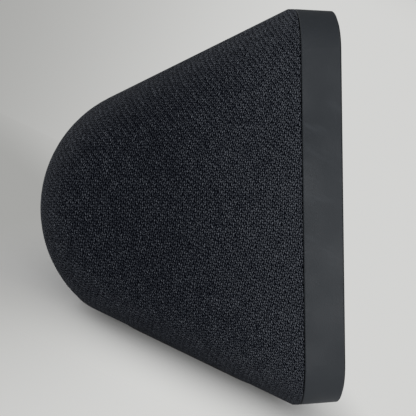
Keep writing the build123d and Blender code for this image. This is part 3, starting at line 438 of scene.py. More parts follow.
@dataclass(frozen=True)
class Knit(Finish):
    """Tight knit of dark yarn with pale flecks, each column of stitches half a stitch off the next.

    The cover carries two maps, in columns and stitches, one for its sides and one for the band that runs
    over its back, and a weight that fades from one to the other round the edge. The sizes of a stitch's
    legs, tips and waist are shares of a column's width or of a stitch's length.
    """

    name: str
    # Colours of the ramp: the pores' painted shade, the yarn, and the pale fibres with painted highlights.
    pore_shade: Colour
    yarn: Colour
    fleck_and_highlight: Colour
    glint: Colour
    side_map: str = "side_knit"
    band_map: str = "band_knit"
    weight: str = "side_weight"
    pull: str = "painted_light_to_seam"
    leg_apart: float = 0.26
    leg_splay: float = 0.26
    leg_half: float = 0.22
    leg_crown: float = 0.2
    waist_offset: float = 0.08
    waist_half: float = 0.15
    waist_height: float = 0.4
    tip_length: float = 0.25
    tip_height: float = 0.3
    ground: float = 0.02
    yarn_at: float = 0.38
    fleck_and_highlight_at: float = 0.72
    depth: float = 0.2 * MM
    bump_strength: float = 0.8
    wander_cells: float = 0.7
    fibre_cells: float = 2.6
    fibre_range: Pair = (0.3, 0.75)
    fibre_gain: Pair = (0.65, 1.15)
    leg_gain: Pair = (0.7, 1.0)
    # The yarn is painted paler towards the seam, as painted light from the front.
    painted_light_from: float = 0.43
    painted_light_gain: Pair = (0.97, 1.62)
    change_cells: float = 700.0
    change_range: Pair = (0.9, 1.1)

    def draw(self, sketch: Sketch) -> Socket:
        """Draws the stitches on both maps and fades between them, paler towards the seam with painted light
        from the front.

        Args:
            sketch: The tree to draw in.

        Returns:
            The shader.
        """
        stitch = self.stitch_group()
        on_side, on_band = (self.read(sketch, stitch, name) for name in (self.side_map, self.band_map))
        weight = sketch.add("ShaderNodeAttribute", attribute_name=self.weight).outputs["Fac"]
        place = sketch.add("ShaderNodeTexCoord").outputs["Object"]
        ragged = sketch.noise(place, self.change_cells, detail=2.0)
        share = sketch.span(sketch.math("ADD", weight, ragged), *self.change_range)
        height, yarn = (
            sketch.out("ShaderNodeMix", {0: share, 2: band, 3: side}, data_type="FLOAT")
            for side, band in zip(on_side, on_band))
        # Painted light: the yarn is drawn paler towards the seam, where the front is lit more.
        pull = sketch.add("ShaderNodeAttribute", attribute_name=self.pull).outputs["Fac"]
        painted_light_lift = sketch.span(pull, self.painted_light_from, 1.0, *self.painted_light_gain, smooth=False)
        # The ramp's value follows the stitch's height: painted shade in the pores and painted highlights on
        # the crowns.
        ramp = sketch.add("ShaderNodeValToRGB", {0: sketch.math("MULTIPLY", yarn, painted_light_lift)})
        self.fill_ramp(ramp.color_ramp)
        return sketch.out("ShaderNodeBsdfPrincipled", {
            "Base Color": ramp.outputs[0], "Roughness": 0.8, "Specular IOR Level": 0.03,
            "Sheen Weight": 0.06, "Sheen Roughness": 0.3, "Sheen Tint": (0.75, 0.8, 0.9, 1.0),
            "Normal": sketch.bump(height, self.depth, self.bump_strength)})

    def fill_ramp(self, ramp: bpy.types.ColorRamp) -> None:
        """Sets the colours from the painted shade of the pores to the painted highlights on the brightest
        fibres.

        Args:
            ramp: The ramp to fill.
        """
        # The pore colour is painted shade; the fleck and glint colours are the pale fibres with painted
        # highlights on the crowns.
        stops = ((0.0, self.pore_shade), (self.yarn_at, self.yarn),
                 (self.fleck_and_highlight_at, self.fleck_and_highlight), (1.0, self.glint))
        while len(ramp.elements) < len(stops):
            ramp.elements.new(1.0)
        for element, (position, colour) in zip(ramp.elements, stops):
            element.position = position
            element.color = (*colour, 1.0)

    def read(self, sketch: Sketch, stitch: bpy.types.NodeTree, name: str) -> Any:
        """Height and yarn value, with its painted shade and highlights, of the stitches on one of the
        cover's maps.
        """
        place = sketch.out("ShaderNodeUVMap", uv_map=name)
        return sketch.add("ShaderNodeGroup", {0: place}, node_tree=stitch).outputs

    def stitch_group(self) -> bpy.types.NodeTree:
        """The node group that draws one stitch in each cell of a map.

        Returns:
            The group, with the stitch's height and the value of its yarn, with painted shade in the pores
            and painted highlights on the crowns.
        """
        group = bpy.data.node_groups.new("knit_stitch", "ShaderNodeTree")
        group.interface.new_socket("Place", in_out="INPUT", socket_type="NodeSocketVector")
        group.interface.new_socket("Height", in_out="OUTPUT", socket_type="NodeSocketFloat")
        group.interface.new_socket("Yarn With Painted Light", in_out="OUTPUT", socket_type="NodeSocketFloat")
        sketch = Sketch(group)
        place = sketch.out("NodeGroupInput")
        wander = sketch.add("ShaderNodeTexNoise", {
            "Vector": place, "Scale": self.wander_cells, "Detail": 3.0}).outputs["Color"]
        moved = sketch.vector("ADD", place, sketch.vector("SUBTRACT", wander, (0.5, 0.5, 0.5)))
        across, along, _ = sketch.add("ShaderNodeSeparateXYZ", {0: moved}).outputs
        column = sketch.math("FLOOR", across)
        odd = sketch.math("FLOORED_MODULO", column, 2.0)
        staggered = sketch.math("ADD", along, sketch.math("MULTIPLY", odd, 0.5))
        row = sketch.math("FLOOR", staggered)
        from_row = sketch.math("SUBTRACT", sketch.math("SUBTRACT", staggered, row), 0.5)
        from_column = sketch.math("SUBTRACT", sketch.math("SUBTRACT", across, column), 0.5)
        spread = sketch.math("SUBTRACT", self.leg_apart, sketch.math("MULTIPLY", from_row, self.leg_splay))
        off_leg = sketch.math("SUBTRACT", sketch.math("ABSOLUTE", from_column), spread)
        crown = self.leg_half * self.leg_crown
        across_leg = sketch.span(sketch.math("ABSOLUTE", off_leg), self.leg_half, crown)
        to_tip = sketch.math("ABSOLUTE", from_row)
        along_leg = sketch.span(to_tip, 0.5, 0.5 - self.tip_length, self.tip_height, 1.0)
        side = sketch.math("SIGN", from_column)
        waist = sketch.math("ADD", from_row, sketch.math("MULTIPLY", side, self.waist_offset))
        waist = sketch.span(sketch.math("ABSOLUTE", waist), 0.0, self.waist_half, self.waist_height, 1.0)
        height = sketch.math("MULTIPLY", across_leg, sketch.math("MULTIPLY", along_leg, waist))
        leg = sketch.math("ADD", sketch.math("MULTIPLY", column, 2.0), side)
        cell = sketch.out("ShaderNodeCombineXYZ", {0: leg, 1: row})
        chance = sketch.out("ShaderNodeTexWhiteNoise", {"Vector": cell}, noise_dimensions="2D")
        per_leg = sketch.span(chance, 0.0, 1.0, *self.leg_gain, smooth=False)
        fibres = sketch.noise(moved, self.fibre_cells, detail=3.0)
        lively = sketch.math("MULTIPLY", per_leg, sketch.span(fibres, *self.fibre_range, *self.fibre_gain))
        # Painted shade and highlights: the yarn's value follows the stitch's height, from dark pores to
        # bright crowns.
        yarn = sketch.math("MULTIPLY", sketch.math("ADD", height, self.ground), lively)
        sketch.add("NodeGroupOutput", {0: height, 1: yarn})
        return group


@dataclass(frozen=True)
class Backdrop:
    """The pale background, which darkens a little towards the speaker's back as painted shade, and more
    overhead.
    """

    pale: Colour = (0.65, 0.65, 0.64)
    # The dim colour is painted shade towards the speaker's back.
    dim: Colour = (0.38, 0.38, 0.37)
    overhead: Colour = (0.1, 0.1, 0.1)
    pale_until: float = -0.05
    dim_from: float = 0.6
    level_until: float = 0.42
    overhead_from: float = 0.78

    def colour(self, sketch: Sketch, place: Socket) -> Socket:
        """The background's colour in the direction of a place.

        Args:
            sketch: The tree to draw in.
            place: A point, seen from the speaker.

        Returns:
            The colour.
        """
        parts = sketch.add("ShaderNodeSeparateXYZ", {0: sketch.vector("NORMALIZE", place)}).outputs
        # Painted shade: the background dims towards the speaker's back.
        level = sketch.blend(sketch.span(parts["Y"], self.pale_until, self.dim_from), self.pale, self.dim)
        high = sketch.span(parts["Z"], self.level_until, self.overhead_from)
        return sketch.blend(high, level, self.overhead)


def seen_directly(sketch: Sketch) -> Socket:
    """1 for the rays that show the background, 0 for those that light the object.

    Args:
        sketch: The tree to draw in.

    Returns:
        The number.
    """
    path = sketch.add("ShaderNodeLightPath")
    seen = path.outputs[Ray.CAMERA.value]
    for ray in (Ray.GLOSSY, Ray.TRANSMISSION):
        seen = sketch.math("MAXIMUM", seen, path.outputs[ray.value])
    return seen


@dataclass(frozen=True)
class PaleFloor(Finish):
    """The pale floor, which takes the object's shadow near it and fades into the background further off."""

    name: str
    colour: Colour
    backdrop: Backdrop
    half: Pair
    reach: float

    def draw(self, sketch: Sketch) -> Socket:
        """Draws the floor under and beside the speaker and the background away from it.

        Args:
            sketch: The tree to draw in.

        Returns:
            The shader.
        """
        place = sketch.add("ShaderNodeTexCoord").outputs["Object"]
        past = sketch.vector("SUBTRACT", sketch.vector("ABSOLUTE", place), (*self.half, 0.0))
        away = sketch.vector("LENGTH", sketch.vector("MAXIMUM", past))
        fade = sketch.math("MULTIPLY", sketch.span(away, 0.0, self.reach), seen_directly(sketch))
        lit = sketch.out("ShaderNodeBsdfDiffuse", {"Color": (*self.colour, 1.0)})
        flat = sketch.out("ShaderNodeEmission", {"Color": self.backdrop.colour(sketch, place)})
        return sketch.out("ShaderNodeMixShader", {0: fade, 1: lit, 2: flat})


def piece_of(name: str, mesh: bpy.types.Mesh) -> Piece:
    """Puts a mesh into the scene, at the origin.

    Args:
        name: The piece's name.
        mesh: Its mesh.

    Returns:
        The piece.
    """
    made = bpy.data.objects.new(name, mesh)
    bpy.context.scene.collection.objects.link(made)
    return made


def settled(piece: Piece) -> Piece:
    """Turns a piece's modifiers into plain mesh.

    Args:
        piece: The piece with its modifiers.

    Returns:
        The same piece with none.
    """
    graph = bpy.context.evaluated_depsgraph_get()
    mesh = bpy.data.meshes.new_from_object(piece.evaluated_get(graph), preserve_all_data_layers=True,
                                           depsgraph=graph)
    piece.modifiers.clear()
    piece.data = mesh
    return piece


@contextmanager
def opened(mesh: bpy.types.Mesh) -> Iterator[bmesh.types.BMesh]:
    """Opens a mesh for changes and writes them back at the end.

    Args:
        mesh: The mesh.

    Yields:
        Its points, edges and faces.
    """
    work = bmesh.new()
    work.from_mesh(mesh)
    yield work
    work.to_mesh(mesh)
    work.free()


def cut(work: bmesh.types.BMesh, spot: Vector, way: Vector, faces: list[bmesh.types.BMFace] | None = None,
        take_off: bool = False) -> None:
    """Cuts a mesh along a plane.

    Args:
        work: The mesh.
        spot: A point on the plane.
        way: The direction that the plane faces.
        faces: The faces to cut, or nothing for all of them.
        take_off: Whether what lies in front of the plane goes.
    """
    if faces is None:
        geometry = work.verts[:] + work.edges[:] + work.faces[:]
    else:
        edges = {edge for face in faces for edge in face.edges}
        verts = {vert for face in faces for vert in face.verts}
        geometry = [*faces, *edges, *verts]
    bmesh.ops.bisect_plane(work, geom=geometry, plane_co=spot, plane_no=way, clear_outer=take_off, dist=CUT)


@dataclass
class BackCover:
    """The knitted cover, stretched over the housing from the seam to the foot and the ports.

    On the sides the columns of stitches bow, with a curvature to the metre that grows from the front bow by
    the rear bow over the bow's depth. The stitches lengthen by the fan to the metre of depth, and by the
    edge's stretch up to its rise. The map of the sides takes over from that of the band where the rounded
    edge has turned by fade_from to fade_to degrees.
    """

    wedge: Wedge
    finish: Knit
    node: str = "fabric_cover"
    column: float = 0.84 * MM
    stitch: float = 1.055 * MM
    band_stitch: float = 1.1 * MM
    grid: float = 2.5 * MM
    edge_tolerance: float = 0.01 * MM
    seam_reach: float = 0.13 * MM
    edge_stretch: float = 0.2
    edge_rise: float = 42.0 * MM
    fan: float = 3.5
    fan_depth: float = 24.0 * MM
    front_bow: float = 14.5
    rear_bow: float = 23.0
    bow_depth: float = 68.6 * MM
    bow_power: float = 2.5
    bow_limit: float = 1.12
    bow_rounds: int = 12
    fade_from: float = 12.0
    fade_to: float = 26.0
    flat: Pair = (0.262, 0.152)
    cut_area: float = 0.0235

    def build(self) -> Piece:
        """Makes the cover's mesh with its knit maps.

        Returns:
            The cover, riding on the body in place of its CAD node.
        """
        mesh = frame["nodes"][self.node].data.copy()
        mesh.name = "knit_cover"
        self.cut_to_grid(mesh)
        cover = piece_of("knit_cover", mesh)
        cover.modifiers.new("even_shading", "WEIGHTED_NORMAL").keep_sharp = True
        settled(cover)
        self.map_knit(cover.data)
        self.finish.put_on(cover)
        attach(cover, BODY)
        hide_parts(self.node)
        return cover

    def cut_to_grid(self, mesh: bpy.types.Mesh) -> None:
        """Merges the copied solid's triangles, draws its front edge to the seam and cuts it for the maps.

        Args:
            mesh: The copy of the CAD node's mesh.
        """
        with opened(mesh) as work:
            bmesh.ops.remove_doubles(work, verts=work.verts, dist=MERGE)
            edge = min(vert.co.dot(self.wedge.inward) for vert in work.verts)
            for vert in work.verts:
                if vert.co.dot(self.wedge.inward) < edge + self.edge_tolerance:
                    vert.co -= self.wedge.inward * self.seam_reach
            for normal in (self.wedge.inward, self.wedge.upward):
                along = [vert.co.dot(normal) for vert in work.verts]
                low, high = min(along), max(along)
                for step in range(1, int((high - low) / self.grid)):
                    cut(work, normal * (low + step * self.grid), normal)
            for face in work.faces:
                face.smooth = True
        mesh.set_sharp_from_angle(angle=SHARP)

    def map_knit(self, mesh: bpy.types.Mesh) -> None:
        """Writes the two knit maps, the weight between them and the mask of the painted light towards the
        seam.

        Args:
            mesh: The cover's mesh.
        """
        points = np.zeros(len(mesh.vertices) * 3, np.float32)
        mesh.vertices.foreach_get("co", points)
        points = points.reshape(-1, 3).astype(float)
        turn = self.edge_turn(points[:, 0])
        corners = np.zeros(len(mesh.loops), np.int32)
        mesh.loops.foreach_get("vertex_index", corners)
        for name, placed in ((self.finish.side_map, self.side_places(points, turn)),
                             (self.finish.band_map, self.band_places(points, turn))):
            layer = mesh.uv_layers.new(name=name)
            layer.data.foreach_set("uv", placed[corners].astype(np.float32).ravel())
        share = np.clip((np.degrees(turn) - self.fade_from) / (self.fade_to - self.fade_from), 0.0, 1.0)
        weight = mesh.attributes.new(self.finish.weight, "FLOAT", "POINT")
        weight.data.foreach_set("value", (share * share * (3 - 2 * share)).astype(np.float32))
        depth, _ = self.wedge.depth_and_rise(points)
        # Painted light: a mask that rises towards the front, where the yarn is drawn paler.
        pull = mesh.attributes.new(self.finish.pull, "FLOAT", "POINT")
        pull.data.foreach_set("value", np.clip(1.0 - depth / self.bow_depth, 0.0, 1.0).astype(np.float32))

    def edge_turn(self, x: np.ndarray) -> np.ndarray:
        """How far the rounded edge has turned towards the side, from 0 on the band to a right angle."""
        flat_half = self.wedge.width / 2 - self.wedge.side_round
        return np.arcsin(np.clip((np.abs(x) - flat_half) / self.wedge.side_round, 0.0, 1.0))

    def profile(self, depth: np.ndarray, rise: np.ndarray) -> tuple[np.ndarray, np.ndarray, np.ndarray]:
        """Where points lie along the wedge's outline, and which way the outline faces there.

        Args:
            depth: Depths of the points.
            rise: Rises of the points.

        Returns:
            Distance along the outline from its rearmost line, and the outward direction as depth and rise.
        """
        radius = self.wedge.rear_radius
        top = math.radians(90.0 - self.wedge.top_slope)
        base = math.radians(self.wedge.lean - 90.0)
        back = depth - self.wedge.axis_depth
        angle = np.clip(np.arctan2(rise, back), base, top)
        out = np.cos(angle), np.sin(angle)
        beyond = -back * out[1] + rise * out[0]
        straight = (angle >= top) | (angle <= base)
        return radius * angle + np.where(straight, beyond, 0.0), out[0], out[1]

    def side_places(self, points: np.ndarray, turn: np.ndarray) -> np.ndarray:
        """Columns and stitches on the sides, where the columns bow like the rear round.

        Args:
            points: The mesh's points.
            turn: How far the edge has turned at each point.

        Returns:
            Column and stitch numbers.
        """
        depth, rise = self.wedge.depth_and_rise(points)
        _, out_depth, out_rise = self.profile(depth, rise)
        over = math.pi / 2 - turn
        spare = np.where(turn > 0, self.wedge.side_round * (over - np.sin(over)), 0.0)
        depth, rise = depth + spare * out_depth, rise + spare * out_rise
        start = depth.copy()
        for _ in range(self.bow_rounds):
            share = np.clip(start / self.bow_depth, 0.0, self.bow_limit)
            start = depth + (self.front_bow + self.rear_bow * share ** self.bow_power) * rise ** 2 / 2
        even = rise / (1.0 + self.fan * (depth - self.fan_depth))
        bend = math.sqrt(self.edge_stretch) / self.edge_rise
        return np.stack((start / self.column, np.arctan(bend * even) / bend / self.stitch), axis=1)

    def band_places(self, points: np.ndarray, turn: np.ndarray) -> np.ndarray:
        """Columns and stitches on the band over the top, back and base, where columns run round the body.

        Args:
            points: The mesh's points.
            turn: How far the edge has turned at each point.

        Returns:
            Column and stitch numbers.
        """
        depth, rise = self.wedge.depth_and_rise(points)
        along, _, _ = self.profile(depth, rise)
        flat_half = self.wedge.width / 2 - self.wedge.side_round
        across = np.minimum(np.abs(points[:, 0]), flat_half) + self.wedge.side_round * turn
        across = np.copysign(across, points[:, 0])
        return np.stack((across / self.column, along / self.band_stitch), axis=1)


class PieceNodes:
    """A Geometry Nodes tree that makes pieces from a few sizes."""

    tree_name: str
    inputs: dict[str, str]

    def __init__(self, finish: Finish) -> None:
        """Builds the tree.

        Args:
            finish: What the pieces are finished with.
        """
        self.tree = bpy.data.node_groups.new(self.tree_name, "GeometryNodeTree")
        sockets = self.tree.interface
        sockets.new_socket("Geometry", in_out="OUTPUT", socket_type="NodeSocketGeometry")
        self.keys = {name: sockets.new_socket(name, in_out="INPUT", socket_type=kind).identifier
                     for name, kind in self.inputs.items()}
        sketch = Sketch(self.tree)
        shape = self.draw(sketch, sketch.add("NodeGroupInput").outputs)
        plain = sketch.out("GeometryNodeRealizeInstances", {0: shape})
        dressed = sketch.out("GeometryNodeSetMaterial", {"Geometry": plain, "Material": finish.material()})
        sketch.add("NodeGroupOutput", {0: dressed})

    def draw(self, sketch: Sketch, sizes: Any) -> Socket:
        """Draws the shape from the inputs' sockets; each kind of piece has its own."""
        raise NotImplementedError

    def make(self, name: str, **sizes: Any) -> Piece:
        """Makes one piece.

        Args:
            name: The piece's name.
            **sizes: Values for the inputs, with _ for spaces.

        Returns:
            The piece, at the origin.
        """
        piece = piece_of(name, bpy.data.meshes.new(name))
        modifier = piece.modifiers.new(self.tree_name, "NODES")
        modifier.node_group = self.tree
        for key, value in sizes.items():
            modifier[self.keys[key.replace("_", " ").title()]] = value
        return settled(piece)


class FrameNodes(PieceNodes):
    """The tree for a flat rounded plate with one rounded opening."""

    tree_name = "rounded_frame"
    inputs = dict.fromkeys(("Width", "Height", "Corner", "Opening Width", "Opening Height",
                            "Opening Corner", "Opening Rise"), "NodeSocketFloat")
    corner_points = 10

    def draw(self, sketch: Sketch, sizes: Any) -> Socket:
        """Draws the plate's outline and its opening and fills what is between them.

        Args:
            sketch: The tree to draw in.
            sizes: The inputs' sockets.

        Returns:
            The plate.
        """
        both = sketch.add("GeometryNodeJoinGeometry")
        outer, inner = (self.loop(sketch, *(sizes[part + side] for side in ("Width", "Height", "Corner")))
                        for part in ("", "Opening "))
        lift = sketch.out("ShaderNodeCombineXYZ", {1: sizes["Opening Rise"]})
        inner = sketch.out("GeometryNodeTransform", {"Geometry": inner, "Translation": lift})
        for curve in (outer, inner):
            sketch.feed(both.inputs[0], curve)
        return sketch.out("GeometryNodeFillCurve", {"Curve": both.outputs[0]})

    def loop(self, sketch: Sketch, width: Wire, height: Wire, corner: Wire) -> Socket:
        """Draws a rectangle with round corners.

        Args:
            sketch: The tree to draw in.
            width: Its width.
            height: Its height.
            corner: The radius of its corners.

        Returns:
            The rectangle, as a curve.
        """
        sides = {"Width": width, "Height": height}
        square = sketch.out("GeometryNodeCurvePrimitiveQuadrilateral", sides)
        corners = {"Curve": square, "Radius": corner, "Count": self.corner_points}
        return sketch.out("GeometryNodeFilletCurve", corners, mode="POLY")


class ContactNodes(PieceNodes):
    """The tree for a row of flat contacts, along X from the origin."""

    tree_name = "contact_row"
    inputs = {"Count": "NodeSocketInt", "Pitch": "NodeSocketFloat", "Size": "NodeSocketVector"}

    def draw(self, sketch: Sketch, sizes: Any) -> Socket:
        """Draws one contact on each point of a line.

        Args:
            sketch: The tree to draw in.
            sizes: The inputs' sockets.

        Returns:
            The row.
        """
        offset = sketch.out("ShaderNodeCombineXYZ", {0: sizes["Pitch"]})
        line = sketch.out("GeometryNodeMeshLine", {"Count": sizes["Count"], "Offset": offset})
        strip = sketch.out("GeometryNodeMeshCube", {"Size": sizes["Size"]})
        return sketch.out("GeometryNodeInstanceOnPoints", {"Points": line, "Instance": strip})


@dataclass
class FrontGlass:
    """The black print and the dark screen behind the front glass."""

    wedge: Wedge
    print_finish: Plain
    screen_finish: Plain
    width: float = 144.8 * MM
    height: float = 89.1 * MM
    corner: float = 10.4 * MM
    print_depth: float = 0.95 * MM
    screen_depth: float = 1.02 * MM
    view_width: float = 122.0 * MM
    view_height: float = 66.8 * MM
    view_corner: float = 1.0 * MM
    view_rise: float = -1.0 * MM
    camera_x: float = 61.0 * MM
    camera_rise: float = 38.35 * MM
    window: float = 2.3 * MM
    window_sides: int = 32
    window_patch: float = 1.3
    window_share: float = 0.995
    screen_margin: float = 1.0 * MM
    screen_grid: tuple[int, int] = (8, 6)

    def build(self) -> list[Piece]:
        """Makes the print with its window for the camera, and the screen.

        Returns:
            Both pieces, riding on the body.
        """
        nodes = FrameNodes(self.print_finish)
        border = nodes.make("glass_print", width=self.width, height=self.height, corner=self.corner,
                            opening_width=self.view_width, opening_height=self.view_height,
                            opening_corner=self.view_corner, opening_rise=self.view_rise)
        self.open_window(border)
        screen = piece_of("dark_screen", bpy.data.meshes.new("dark_screen"))
        self.fill_screen(screen)
        self.stand(border, self.print_depth, self.print_finish)
        self.stand(screen, self.screen_depth, self.screen_finish)
        return [border, screen]

    def open_window(self, border: Piece) -> None:
        """Cuts the camera's round window in the print, inside a square patch round it.

        Args:
            border: The flat print.
        """
        centre = Vector((self.camera_x, self.camera_rise, 0.0))
        reach = self.window_patch * self.window
        with opened(border.data) as work:
            for way in (Vector((1, 0, 0)), Vector((-1, 0, 0)), Vector((0, 1, 0)), Vector((0, -1, 0))):
                cut(work, centre + way * reach, way)
            for step in range(self.window_sides):
                angle = 2 * math.pi * step / self.window_sides
                way = Vector((math.cos(angle), math.sin(angle), 0.0))
                offsets = ((face, face.calc_center_median() - centre) for face in work.faces)
                patch = [face for face, off in offsets if max(abs(off.x), abs(off.y)) < reach]
                cut(work, centre + way * self.window, way, patch)
            inside = [face for face in work.faces
                      if (face.calc_center_median() - centre).length < self.window * self.window_share]
            bmesh.ops.delete(work, geom=inside, context="FACES")

    def fill_screen(self, screen: Piece) -> None:
        """Makes the flat screen, a little larger than the print's opening.

        Args:
            screen: The piece, still without faces.
        """
        half_width = self.view_width / 2 + self.screen_margin
        half_height = self.view_height / 2 + self.screen_margin
        columns, rows = self.screen_grid
        with opened(screen.data) as work:
            bmesh.ops.create_grid(work, x_segments=columns, y_segments=rows, size=1.0)
            for vert in work.verts:
                vert.co = Vector((vert.co.x * half_width, vert.co.y * half_height + self.view_rise, 0.0))

    def stand(self, piece: Piece, depth: float, finish: Finish) -> None:
        """Stands a flat piece up behind the glass and dresses it.

        Args:
            piece: The piece, flat at the origin.
            depth: How far behind the front of the glass it stands.
            finish: Its finish.
        """
        turn = Matrix((Vector((1, 0, 0)), self.wedge.upward, -self.wedge.inward)).transposed().to_4x4()
        piece.data.transform(Matrix.Translation(self.wedge.place(0.0, depth, 0.0)) @ turn)
        piece.data.update()
        finish.put_on(piece)
        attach(piece, BODY)


@dataclass
class PortBay:
    """The plated contacts in the service socket."""

    contact_finish: Plain
    panel_y: float = 34.7482 * MM
    port_z: float = 17.4 * MM
    tongue_thick: float = 0.7 * MM
    tongue_inset: float = 1.2 * MM
    contact_inset: float = 0.2 * MM
    count: int = 5
    pitch: float = 0.75 * MM
    size: Triple = (0.4 * MM, 3.6 * MM, 0.06 * MM)

    def build(self) -> Piece:
        """Makes the contacts along the top of the tongue.

        Returns:
            The contacts, riding on the body.
        """
        nodes = ContactNodes(self.contact_finish)
        row = nodes.make("socket_contacts", count=self.count, pitch=self.pitch, size=self.size)
        left = -(self.count - 1) / 2 * self.pitch
        middle_y = self.panel_y - self.tongue_inset - self.size[1] / 2 - self.contact_inset
        row.data.transform(Matrix.Translation((left, middle_y, self.port_z + self.tongue_thick / 2)))
        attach(row, BODY)
        return row


@dataclass
class FlexRing:
    """A ring of the driver between the basket and the moving cone, cut into sectors."""

    finish: Finish
    node: str
    held_radius: float
    moving_radius: float
    sectors: int
    moving_body: str = "cone_assembly"
    axis: Triple = (0.0, 0.789596, 0.613628)

    def build(self) -> list[Piece]:
        """Cuts a copy of the ring into its sectors.

        Returns:
            The sectors, in place of the CAD node.
        """
        low, high = (Vector(corner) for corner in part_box(self.node))
        centre = (low + high) / 2
        across = Vector((1.0, 0.0, 0.0))
        along = Vector(self.axis).cross(across)
        made = []
        for number in range(self.sectors):
            middle = 2 * math.pi * number / self.sectors
            ends = [(side, middle + side * math.pi / self.sectors) for side in (1, -1)]
            sides = [side * (math.cos(end) * along - math.sin(end) * across) for side, end in ends]
            piece = piece_of(f"{self.node}_sector_{number + 1}", self.sector(centre, sides))
            self.finish.put_on(piece)
            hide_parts(self.node)
            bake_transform(piece)
            made.append(piece)
        return made

    def sector(self, centre: Vector, sides: list[Vector]) -> bpy.types.Mesh:
        """A copy of the ring's mesh between two planes through its axis, with closed ends.

        Args:
            centre: A point on the axis.
            sides: The directions out of the sector's two ends.

        Returns:
            The sector's mesh.
        """
        mesh = frame["nodes"][self.node].data.copy()
        with opened(mesh) as work:
            bmesh.ops.remove_doubles(work, verts=work.verts, dist=MERGE)
            for side in sides:
                cut(work, centre, side, take_off=True)
                open_edges = [edge for edge in work.edges if edge.is_boundary]
                bmesh.ops.triangle_fill(work, edges=open_edges, use_beauty=True)
            bmesh.ops.recalc_face_normals(work, faces=work.faces)
        mesh.set_sharp_from_angle(angle=SHARP)
        return mesh


@dataclass
class Studio:
    """The floor, the light and the camera."""

    wedge: Wedge
    backdrop: Backdrop = Backdrop()
    floor_colour: Colour = (0.9, 0.9, 0.89)
    shadow_half: Pair = (52.0 * MM, 26.0 * MM)
    shadow_reach: float = 42.0 * MM
    floor_reach: float = 4.0
    floor_sides: int = 96
    floor_drop: float = 0.1 * MM
    low_light: float = 0.52
    high_light: float = 0.22
    high_from: float = 0.9
    lamp_aim: Triple = (0.0, 0.0, 40.0 * MM)
    camera_x: float = -185.5 * MM
    aim_depth: float = 29.4 * MM
    aim_rise: float = 0.0
    roll: float = 0.72
    lens: float = 45.0

    def build(self) -> None:
        """Makes the whole setting."""
        self.floor()
        self.world()
        key = self.lamp("key", place=(-0.88, -0.38, 0.11), size=(0.9, 0.26), power=5.0)
        far_side = self.lamp("far_side", place=(0.95, -0.45, 0.35), size=(0.6, 0.5), power=5.0)
        self.lamp("rear", place=(0.3, 0.95, 0.4), size=(0.8, 0.6), power=7.0)
        far_side.visible_glossy = False
        for in_front in (key, far_side):
            in_front.visible_transmission = False
        self.camera()

    def floor(self) -> None:
        """Lays the floor under the foot."""
        mesh = bpy.data.meshes.new("floor")
        with opened(mesh) as work:
            bmesh.ops.create_circle(work, cap_ends=True, segments=self.floor_sides, radius=self.floor_reach)
        mesh.transform(Matrix.Translation((0.0, 0.0, -self.floor_drop)))
        floor = piece_of("floor", mesh)
        finish = PaleFloor("floor", self.floor_colour, self.backdrop, self.shadow_half, self.shadow_reach)
        finish.put_on(floor)

    def world(self) -> None:
        """Sets an even light all round and the background that is seen in its place."""
        world = bpy.data.worlds.new("surround")
        world.use_nodes = True
        world.node_tree.nodes.clear()
        sketch = Sketch(world.node_tree)
        way = sketch.add("ShaderNodeTexCoord").outputs["Generated"]
        up = sketch.add("ShaderNodeSeparateXYZ", {0: way}).outputs["Z"]
        strength = sketch.span(up, 0.0, self.high_from, self.low_light, self.high_light)
        pale = self.backdrop.colour(sketch, way)
        light, seen = (
            sketch.out("ShaderNodeBackground", {"Color": colour, "Strength": power})
            for colour, power in (((1.0, 1.0, 1.0, 1.0), strength), (pale, 1.0)))
        mixed = sketch.out("ShaderNodeMixShader", {0: seen_directly(sketch), 1: light, 2: seen})
        sketch.add("ShaderNodeOutputWorld", {"Surface": mixed})
        bpy.context.scene.world = world

    def lamp(self, name: str, place: Triple, size: Pair, power: float) -> bpy.types.Object:
        """Hangs one soft lamp that points at the speaker.

        Args:
            name: The lamp's name.
            place: Where it hangs.
            size: Its width and height.
            power: Its power in watts.

        Returns:
            The lamp.
        """
        data = bpy.data.lights.new(name, "AREA")
        data.energy = power
        data.shape = "RECTANGLE"
        data.size, data.size_y = size
        lamp = bpy.data.objects.new(name, data)
        bpy.context.scene.collection.objects.link(lamp)
        aim = Vector(self.lamp_aim) - Vector(place)
        lamp.matrix_world = Matrix.Translation(place) @ aim.to_track_quat("-Z", "Y").to_matrix().to_4x4()
        return lamp

    def camera(self) -> None:
        """Sets the camera square to the speaker's side, turned so that the glass stands upright."""
        data = bpy.data.cameras.new("camera")
        data.lens = self.lens
        data.sensor_width = 36.0
        data.clip_start = 0.002
        data.clip_end = 50.0
        camera = bpy.data.objects.new("camera", data)
        bpy.context.scene.collection.objects.link(camera)
        spot = self.wedge.place(self.camera_x, self.aim_depth, self.aim_rise)
        lean = math.radians(self.roll)
        level, upright = -self.wedge.inward, self.wedge.upward
        right = math.cos(lean) * level - math.sin(lean) * upright
        up = math.sin(lean) * level + math.cos(lean) * upright
        turn = Matrix((right, up, right.cross(up))).transposed().to_4x4()
        camera.matrix_world = Matrix.Translation(spot) @ turn
        bpy.context.scene.camera = camera


